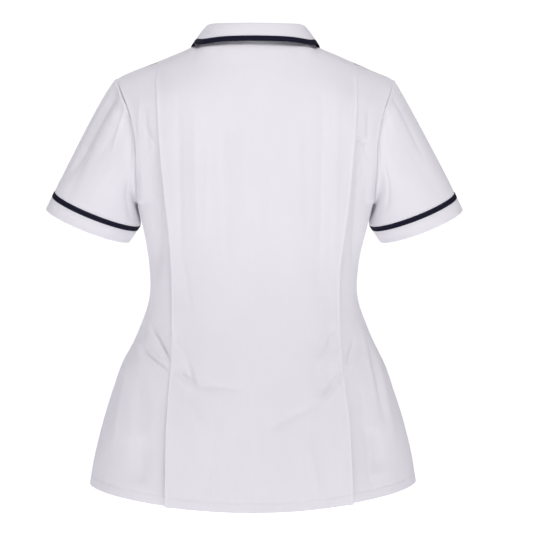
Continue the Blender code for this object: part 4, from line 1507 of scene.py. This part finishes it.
def button_mesh(name, place, look):
    """A four-hole button with a rounded rim, set at a place."""
    plate = button_plate(look)
    shape = bmesh.new()
    shape.from_mesh(plate)
    bpy.data.meshes.remove(plate)
    bmesh.ops.translate(shape, verts=shape.verts, vec=(0, 0, look.plate_height))
    middle = look.rim_width / 2
    centre = BUTTON_RADIUS * MM - middle
    rings = []
    for step in range(RIM_STEPS):
        turn = 2 * math.pi * step / RIM_STEPS
        radius = centre + middle * math.cos(turn)
        height = BUTTON_THICKNESS * MM / 2 * math.sin(turn)
        ring = []
        for side in range(BUTTON_STEPS):
            around = 2 * math.pi * side / BUTTON_STEPS
            spot = (radius * math.cos(around), radius * math.sin(around), height)
            ring.append(shape.verts.new(spot))
        rings.append(ring)
    for step in range(RIM_STEPS):
        here, beyond = rings[step], rings[(step + 1) % RIM_STEPS]
        for side in range(BUTTON_STEPS):
            after = (side + 1) % BUTTON_STEPS
            shape.faces.new((here[side], here[after], beyond[after], beyond[side]))
    bmesh.ops.recalc_face_normals(shape, faces=shape.faces)
    bmesh.ops.transform(shape, matrix=place, verts=shape.verts)
    mesh = bpy.data.meshes.new(name)
    shape.to_mesh(mesh)
    shape.free()
    mesh.shade_smooth()
    mesh.set_sharp_from_angle(angle=BUTTON_SHARP_ANGLE)
    return mesh


def button_places():
    """Where each button sits on the front that laps over, as a matrix with its face along +Z."""
    columns = front_columns()
    front, normals = torso(body_rows(), back_columns(), columns)[2:]
    centre = index_of(columns, 0)
    line, facing = front[:, centre], normals[:, centre]
    places = []
    for count in range(BUTTON_COUNT):
        height = BUTTON_TOP - BUTTON_STEP * count
        spot = np.array([np.interp(height, line[:, 2], line[:, k]) for k in range(3)])
        out = unit(np.array([np.interp(height, line[:, 2], facing[:, k]) for k in range(3)]))
        seat = hips_turned(spot + out * (BUTTON_SEAT + BUTTON_THICKNESS / 2))
        ahead = Vector(hips_turned(spot + out * (BUTTON_SEAT + BUTTON_THICKNESS / 2 + 1)) - seat)
        turn = ahead.to_track_quat("Z", "Y").to_matrix().to_4x4()
        places.append(Matrix.Translation(Vector(seat * MM)) @ turn)
    return places


def make_buttons(look):
    """Every button and the threads that hold it."""
    holds = []
    apart = look.hole_spacing / 2
    top = look.plate_height + look.plate_thickness / 2 + look.plate_edge
    finish = finish_named("button_plastic")
    for count, place in enumerate(button_places()):
        name = f"button_{count + 1}"
        piece = add_piece(f"{name}_four_hole", button_mesh(name, place, look), finish)
        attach(piece, "root")
        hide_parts(name)
        for x in (-apart, apart):
            for aside in HOLD_ASIDE:
                ends = [Vector((x + aside, y * apart, top + rise)) for y, rise in HOLD_PROFILE]
                holds.append(np.array([tuple(place @ end) for end in ends]) / MM)
    thread = finish_named("white_thread")
    make_stitches("button_threads", holds, thread, "white_cloth", *HOLD_STITCH)


def buttonhole_lines():
    """The corded oval round each buttonhole, upright and just longer than its button."""
    sunk = Vector((0, 0, -BUTTON_THICKNESS * MM / 2 - BUTTONHOLE_DROP))
    lines = []
    for place in button_places():
        down = Matrix.Translation(place @ sunk - place.translation) @ place
        oval = []
        for step in range(BUTTONHOLE_STEPS + 1):
            turn = 2 * math.pi * step / BUTTONHOLE_STEPS
            end = math.copysign(BUTTONHOLE_REACH, math.sin(turn))
            x, y = (BUTTONHOLE_HALF_WIDTH * f(turn) for f in (math.cos, math.sin))
            oval.append(tuple(down @ Vector((x, end + y, 0))))
        lines.append(np.array(oval) / MM)
    return lines


def tack_lines():
    """Short close stitches across the pleats' edges at their tacks."""
    panel = cloth_panels()["back_centre"]
    lines = []
    for edge in (-1, 0):
        row = index_of(panel.outer[:, edge, 2], TACK_HEIGHT)
        points, normals = panel.outer[row], panel.normals[row]
        if edge == -1:
            points, normals = points[::-1], normals[::-1]
        off = walked(points[None], 1)[0]
        lifted = points + normals * THREAD_LIFT
        along = np.linspace(TACK_START, TACK_LENGTH, TACK_POINTS)
        spots = np.stack([np.interp(along, off, lifted[:, k]) for k in range(3)], axis=-1)
        lines += [spots - (0, 0, drop) for drop in (0.0, TACK_ROWS_APART)]
    return lines


def stitch_lines(table):
    """The lines of stitching in a table."""
    panels = cloth_panels()
    return [line_beside(panels[node], edge, distance) for node, edge, distance in table]


def make_light(name, watts):
    """A large square studio light that faces a point."""
    place, aim, size, colour = LIGHTS[name]
    data = bpy.data.lights.new(name, "AREA")
    data.shape = "SQUARE"
    data.size = size
    data.energy = watts
    data.color = colour
    light = bpy.data.objects.new(name, data)
    light.location = place
    light.rotation_euler = (Vector(aim) - Vector(place)).to_track_quat("-Z", "Y").to_euler()
    bpy.context.scene.collection.objects.link(light)


def make_world(look):
    """A white surround that lights the tunic more softly than it looks to the camera."""
    world = bpy.data.worlds.new("surround")
    world.use_nodes = True
    tree = world.node_tree
    tree.nodes.clear()
    seen, lit = (tree.nodes.new("ShaderNodeBackground") for _ in range(2))
    set_values(seen, {"Color": (1.0, 1.0, 1.0, 1.0), "Strength": SEEN_STRENGTH})
    set_values(lit, {"Color": look.fill_colour, "Strength": look.fill_strength})
    path = tree.nodes.new("ShaderNodeLightPath")
    mix = tree.nodes.new("ShaderNodeMixShader")
    out = tree.nodes.new("ShaderNodeOutputWorld")
    tree.links.new(path.outputs["Is Camera Ray"], mix.inputs["Fac"])
    tree.links.new(lit.outputs[0], mix.inputs[1])
    tree.links.new(seen.outputs[0], mix.inputs[2])
    tree.links.new(mix.outputs[0], out.inputs["Surface"])
    bpy.context.scene.world = world


def make_floor(look):
    """A wide pale floor, far enough below that the tunic's shadow on it is faint."""
    mesh = bpy.data.meshes.new("floor")
    shape = bmesh.new()
    bmesh.ops.create_circle(shape, cap_ends=True, segments=96, radius=look.floor_radius)
    bmesh.ops.translate(shape, verts=shape.verts, vec=(0, 0, look.floor_height))
    shape.to_mesh(mesh)
    shape.free()
    material, tree, shader, spot = new_finish("floor")
    cloud = add_noise(tree, spot, FLOOR_DETAIL, 3.0)
    tree.links.new(mix_colours(tree, cloud, *FLOOR_GREYS), shader.inputs["Base Color"])
    set_values(shader, {"Roughness": 1.0, "Specular IOR Level": 0.0})
    glow = {"Emission Color": (1.0, 1.0, 1.0, 1.0), "Emission Strength": look.floor_glow}
    set_values(shader, glow)
    add_piece("floor", mesh, material)


def make_camera():
    """The camera at the photograph's angle: behind the tunic and level with its waist."""
    turn = math.radians(CAMERA_TURN)
    across, back = math.sin(turn) * CAMERA_DISTANCE, math.cos(turn) * CAMERA_DISTANCE
    yaw = math.atan2(PICTURE_SIZE / 2 - CENTRE_LINE_X, FOCAL_PIXELS)
    ahead = Vector((-math.sin(turn), -math.cos(turn), 0.0))
    aside = Vector((ahead.y, -ahead.x, 0.0))
    aim = ahead * math.cos(yaw) + aside * math.sin(yaw)
    data = bpy.data.cameras.new("camera")
    data.sensor_width = SENSOR_WIDTH
    data.lens = SENSOR_WIDTH * FOCAL_PIXELS / PICTURE_SIZE
    data.clip_start = 0.05
    data.clip_end = 100.0
    camera = bpy.data.objects.new("camera", data)
    camera.location = (across, back, CAMERA_HEIGHT)
    camera.rotation_euler = aim.to_track_quat("-Z", "Y").to_euler()
    bpy.context.scene.collection.objects.link(camera)
    bpy.context.scene.camera = camera


def colour_setting(name, description, *colour):
    """A colour among the settings."""
    return bpy.props.FloatVectorProperty(
        name=name, description=description, subtype="COLOR", size=4, min=0, max=1,
        default=(*colour, 1.0))


def length_setting(name, description, default):
    """A length in metres among the settings."""
    return bpy.props.FloatProperty(
        name=name, description=description, subtype="DISTANCE", default=default)


def power_setting(name, description, default):
    """A light's power in watts among the settings."""
    return bpy.props.FloatProperty(
        name=name, description=description, subtype="POWER", default=default)


class TunicFinish(bpy.types.PropertyGroup):
    """Colours of the tunic's finishes."""

    white: colour_setting("White cloth", "Colour of the tunic's main cloth", 0.82, 0.807, 0.828)
    white_shade: colour_setting(
        "White cloth, shaded yarns", "Colour of its duller yarns", 0.75, 0.735, 0.78)
    navy: colour_setting(
        "Navy cloth", "Colour of the collar's edge and the sleeve bands", 0.010, 0.010, 0.026)
    navy_shade: colour_setting(
        "Navy cloth, shaded yarns", "Colour of its darker yarns", 0.005, 0.005, 0.016)
    button: colour_setting("Button", "Colour of the buttons", 0.84, 0.84, 0.85)
    button_shade: colour_setting(
        "Button, pearl cloud", "Colour of the faint cloud in the buttons", 0.76, 0.76, 0.79)


class TunicSewing(bpy.types.PropertyGroup):
    """Sizes of the stitches."""

    pitch: length_setting("Pitch", "From one stitch to the next", 0.0032)
    length: length_setting("Stitch length", "Length of the thread that shows", 0.0025)
    radius: length_setting("Thread radius", "Half the thread's thickness", 0.00018)
    close_pitch: length_setting("Close pitch", "Pitch of tacks and buttonholes", 0.0007)
    close_length: length_setting("Close length", "Length of a close stitch", 0.001)


class TunicButton(bpy.types.PropertyGroup):
    """Sizes of a four-hole button."""

    plate_radius: length_setting("Plate radius", "Radius of the sunk middle", 0.0060)
    plate_thickness: length_setting("Plate thickness", "Thickness of the middle", 0.0010)
    plate_height: length_setting(
        "Plate height", "Height of the middle over the button's centre", 0.0001)
    plate_edge: length_setting("Plate edge", "Rounding of the holes' edges", 0.00015)
    hole_radius: length_setting("Hole radius", "Radius of a hole", 0.00095)
    hole_spacing: length_setting("Hole spacing", "From one hole to the next", 0.0032)
    rim_width: length_setting("Rim width", "Width of the raised rim", 0.0024)


class TunicStudio(bpy.types.PropertyGroup):
    """The studio's floor and lights."""

    floor_height: length_setting("Floor height", "Height of the floor", -1.25)
    floor_radius: length_setting("Floor radius", "Radius of the floor", 30.0)
    floor_glow: bpy.props.FloatProperty(
        name="Floor glow", description="How much the floor shines by itself", default=0.95)
    fill_strength: bpy.props.FloatProperty(
        name="Fill strength", description="Light from all round", default=0.17)
    fill_colour: colour_setting(
        "Fill colour", "Colour of the light from all round", 0.76, 0.70, 1.0)
    key_watts: power_setting("Key light", "Power of the large light above the camera", 40.0)
    front_watts: power_setting("Far light", "Power of the light on the tunic's front", 24.0)
    top_watts: power_setting("Top light", "Power of the light overhead", 14.0)


class TUNIC_OT_body(bpy.types.Operator):
    """Make the back, side and front panels"""

    bl_idname = "tunic.body"
    bl_label = "Body"

    def execute(self, context):
        for node in BODY:
            make_cloth(node)
        return {"FINISHED"}


class TUNIC_OT_sleeves(bpy.types.Operator):
    """Make the sleeves with their contrast bands and hems"""

    bl_idname = "tunic.sleeves"
    bl_label = "Sleeves"

    def execute(self, context):
        for _, side in SIDES:
            for node in ("sleeve", "sleeve_band", "sleeve_hem"):
                make_cloth(f"{node}_{side}")
        return {"FINISHED"}


class TUNIC_OT_collar(bpy.types.Operator):
    """Make the collar and its bound edge"""

    bl_idname = "tunic.collar"
    bl_label = "Collar"

    def execute(self, context):
        make_cloth("collar")
        make_cloth("collar_trim")
        return {"FINISHED"}


class TUNIC_OT_buttons(bpy.types.Operator):
    """Make the buttons and the threads that hold them"""

    bl_idname = "tunic.buttons"
    bl_label = "Buttons"

    def execute(self, context):
        make_buttons(context.scene.tunic_button)
        return {"FINISHED"}


class TUNIC_OT_stitching(bpy.types.Operator):
    """Make every line of stitching, the tacks and the buttonholes"""

    bl_idname = "tunic.stitching"
    bl_label = "Stitching"

    def execute(self, context):
        sewing = context.scene.tunic_sewing
        white, navy = finish_named("white_thread"), finish_named("navy_thread")
        size = (sewing.pitch, sewing.length, sewing.radius)
        close = (sewing.close_pitch, sewing.close_length, sewing.radius)
        close_lines = tack_lines() + buttonhole_lines()
        make_stitches("white_stitching", stitch_lines(WHITE_LINES), white, "white_cloth", *size)
        make_stitches("navy_stitching", stitch_lines(NAVY_LINES), navy, "navy_cloth", *size)
        make_stitches("close_stitching", close_lines, white, "white_cloth", *close)
        return {"FINISHED"}


class TUNIC_OT_studio(bpy.types.Operator):
    """Make the floor, the surround, the lights and the camera"""

    bl_idname = "tunic.studio"
    bl_label = "Studio"

    def execute(self, context):
        look = context.scene.tunic_studio
        make_floor(look)
        make_world(look)
        for name in LIGHTS:
            make_light(name, getattr(look, f"{name}_watts"))
        make_camera()
        view = context.scene.view_settings
        view.view_transform = "Standard"
        view.look = "None"
        view.exposure = 0.0
        view.gamma = 1.0
        return {"FINISHED"}


class TUNIC_PT_looks(bpy.types.Panel):
    """The tunic's pieces and settings"""

    bl_label = "Work tunic"
    bl_space_type = "VIEW_3D"
    bl_region_type = "UI"
    bl_category = "Tunic"

    def draw(self, context):
        for group in GROUPS:
            settings = getattr(context.scene, group)
            for name in settings.__annotations__:
                self.layout.prop(settings, name)
        for operator in OPERATORS:
            self.layout.operator(operator.bl_idname)


GROUPS = {
    "tunic_finish": TunicFinish,
    "tunic_sewing": TunicSewing,
    "tunic_button": TunicButton,
    "tunic_studio": TunicStudio,
}
OPERATORS = (
    TUNIC_OT_body,
    TUNIC_OT_sleeves,
    TUNIC_OT_collar,
    TUNIC_OT_buttons,
    TUNIC_OT_stitching,
    TUNIC_OT_studio,
)


def register():
    """Add the settings, the operators and the panel."""
    for name, group in GROUPS.items():
        bpy.utils.register_class(group)
        setattr(bpy.types.Scene, name, bpy.props.PointerProperty(type=group))
    for operator in OPERATORS:
        bpy.utils.register_class(operator)
    bpy.utils.register_class(TUNIC_PT_looks)


def unregister():
    """Take away what register added."""
    bpy.utils.unregister_class(TUNIC_PT_looks)
    for operator in reversed(OPERATORS):
        bpy.utils.unregister_class(operator)
    for name, group in GROUPS.items():
        delattr(bpy.types.Scene, name)
        bpy.utils.unregister_class(group)


def main():
    """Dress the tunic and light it."""
    register()
    bpy.ops.tunic.body()
    bpy.ops.tunic.sleeves()
    bpy.ops.tunic.collar()
    bpy.ops.tunic.buttons()
    bpy.ops.tunic.stitching()
    bpy.ops.tunic.studio()


if __name__ == "__main__":
    main()
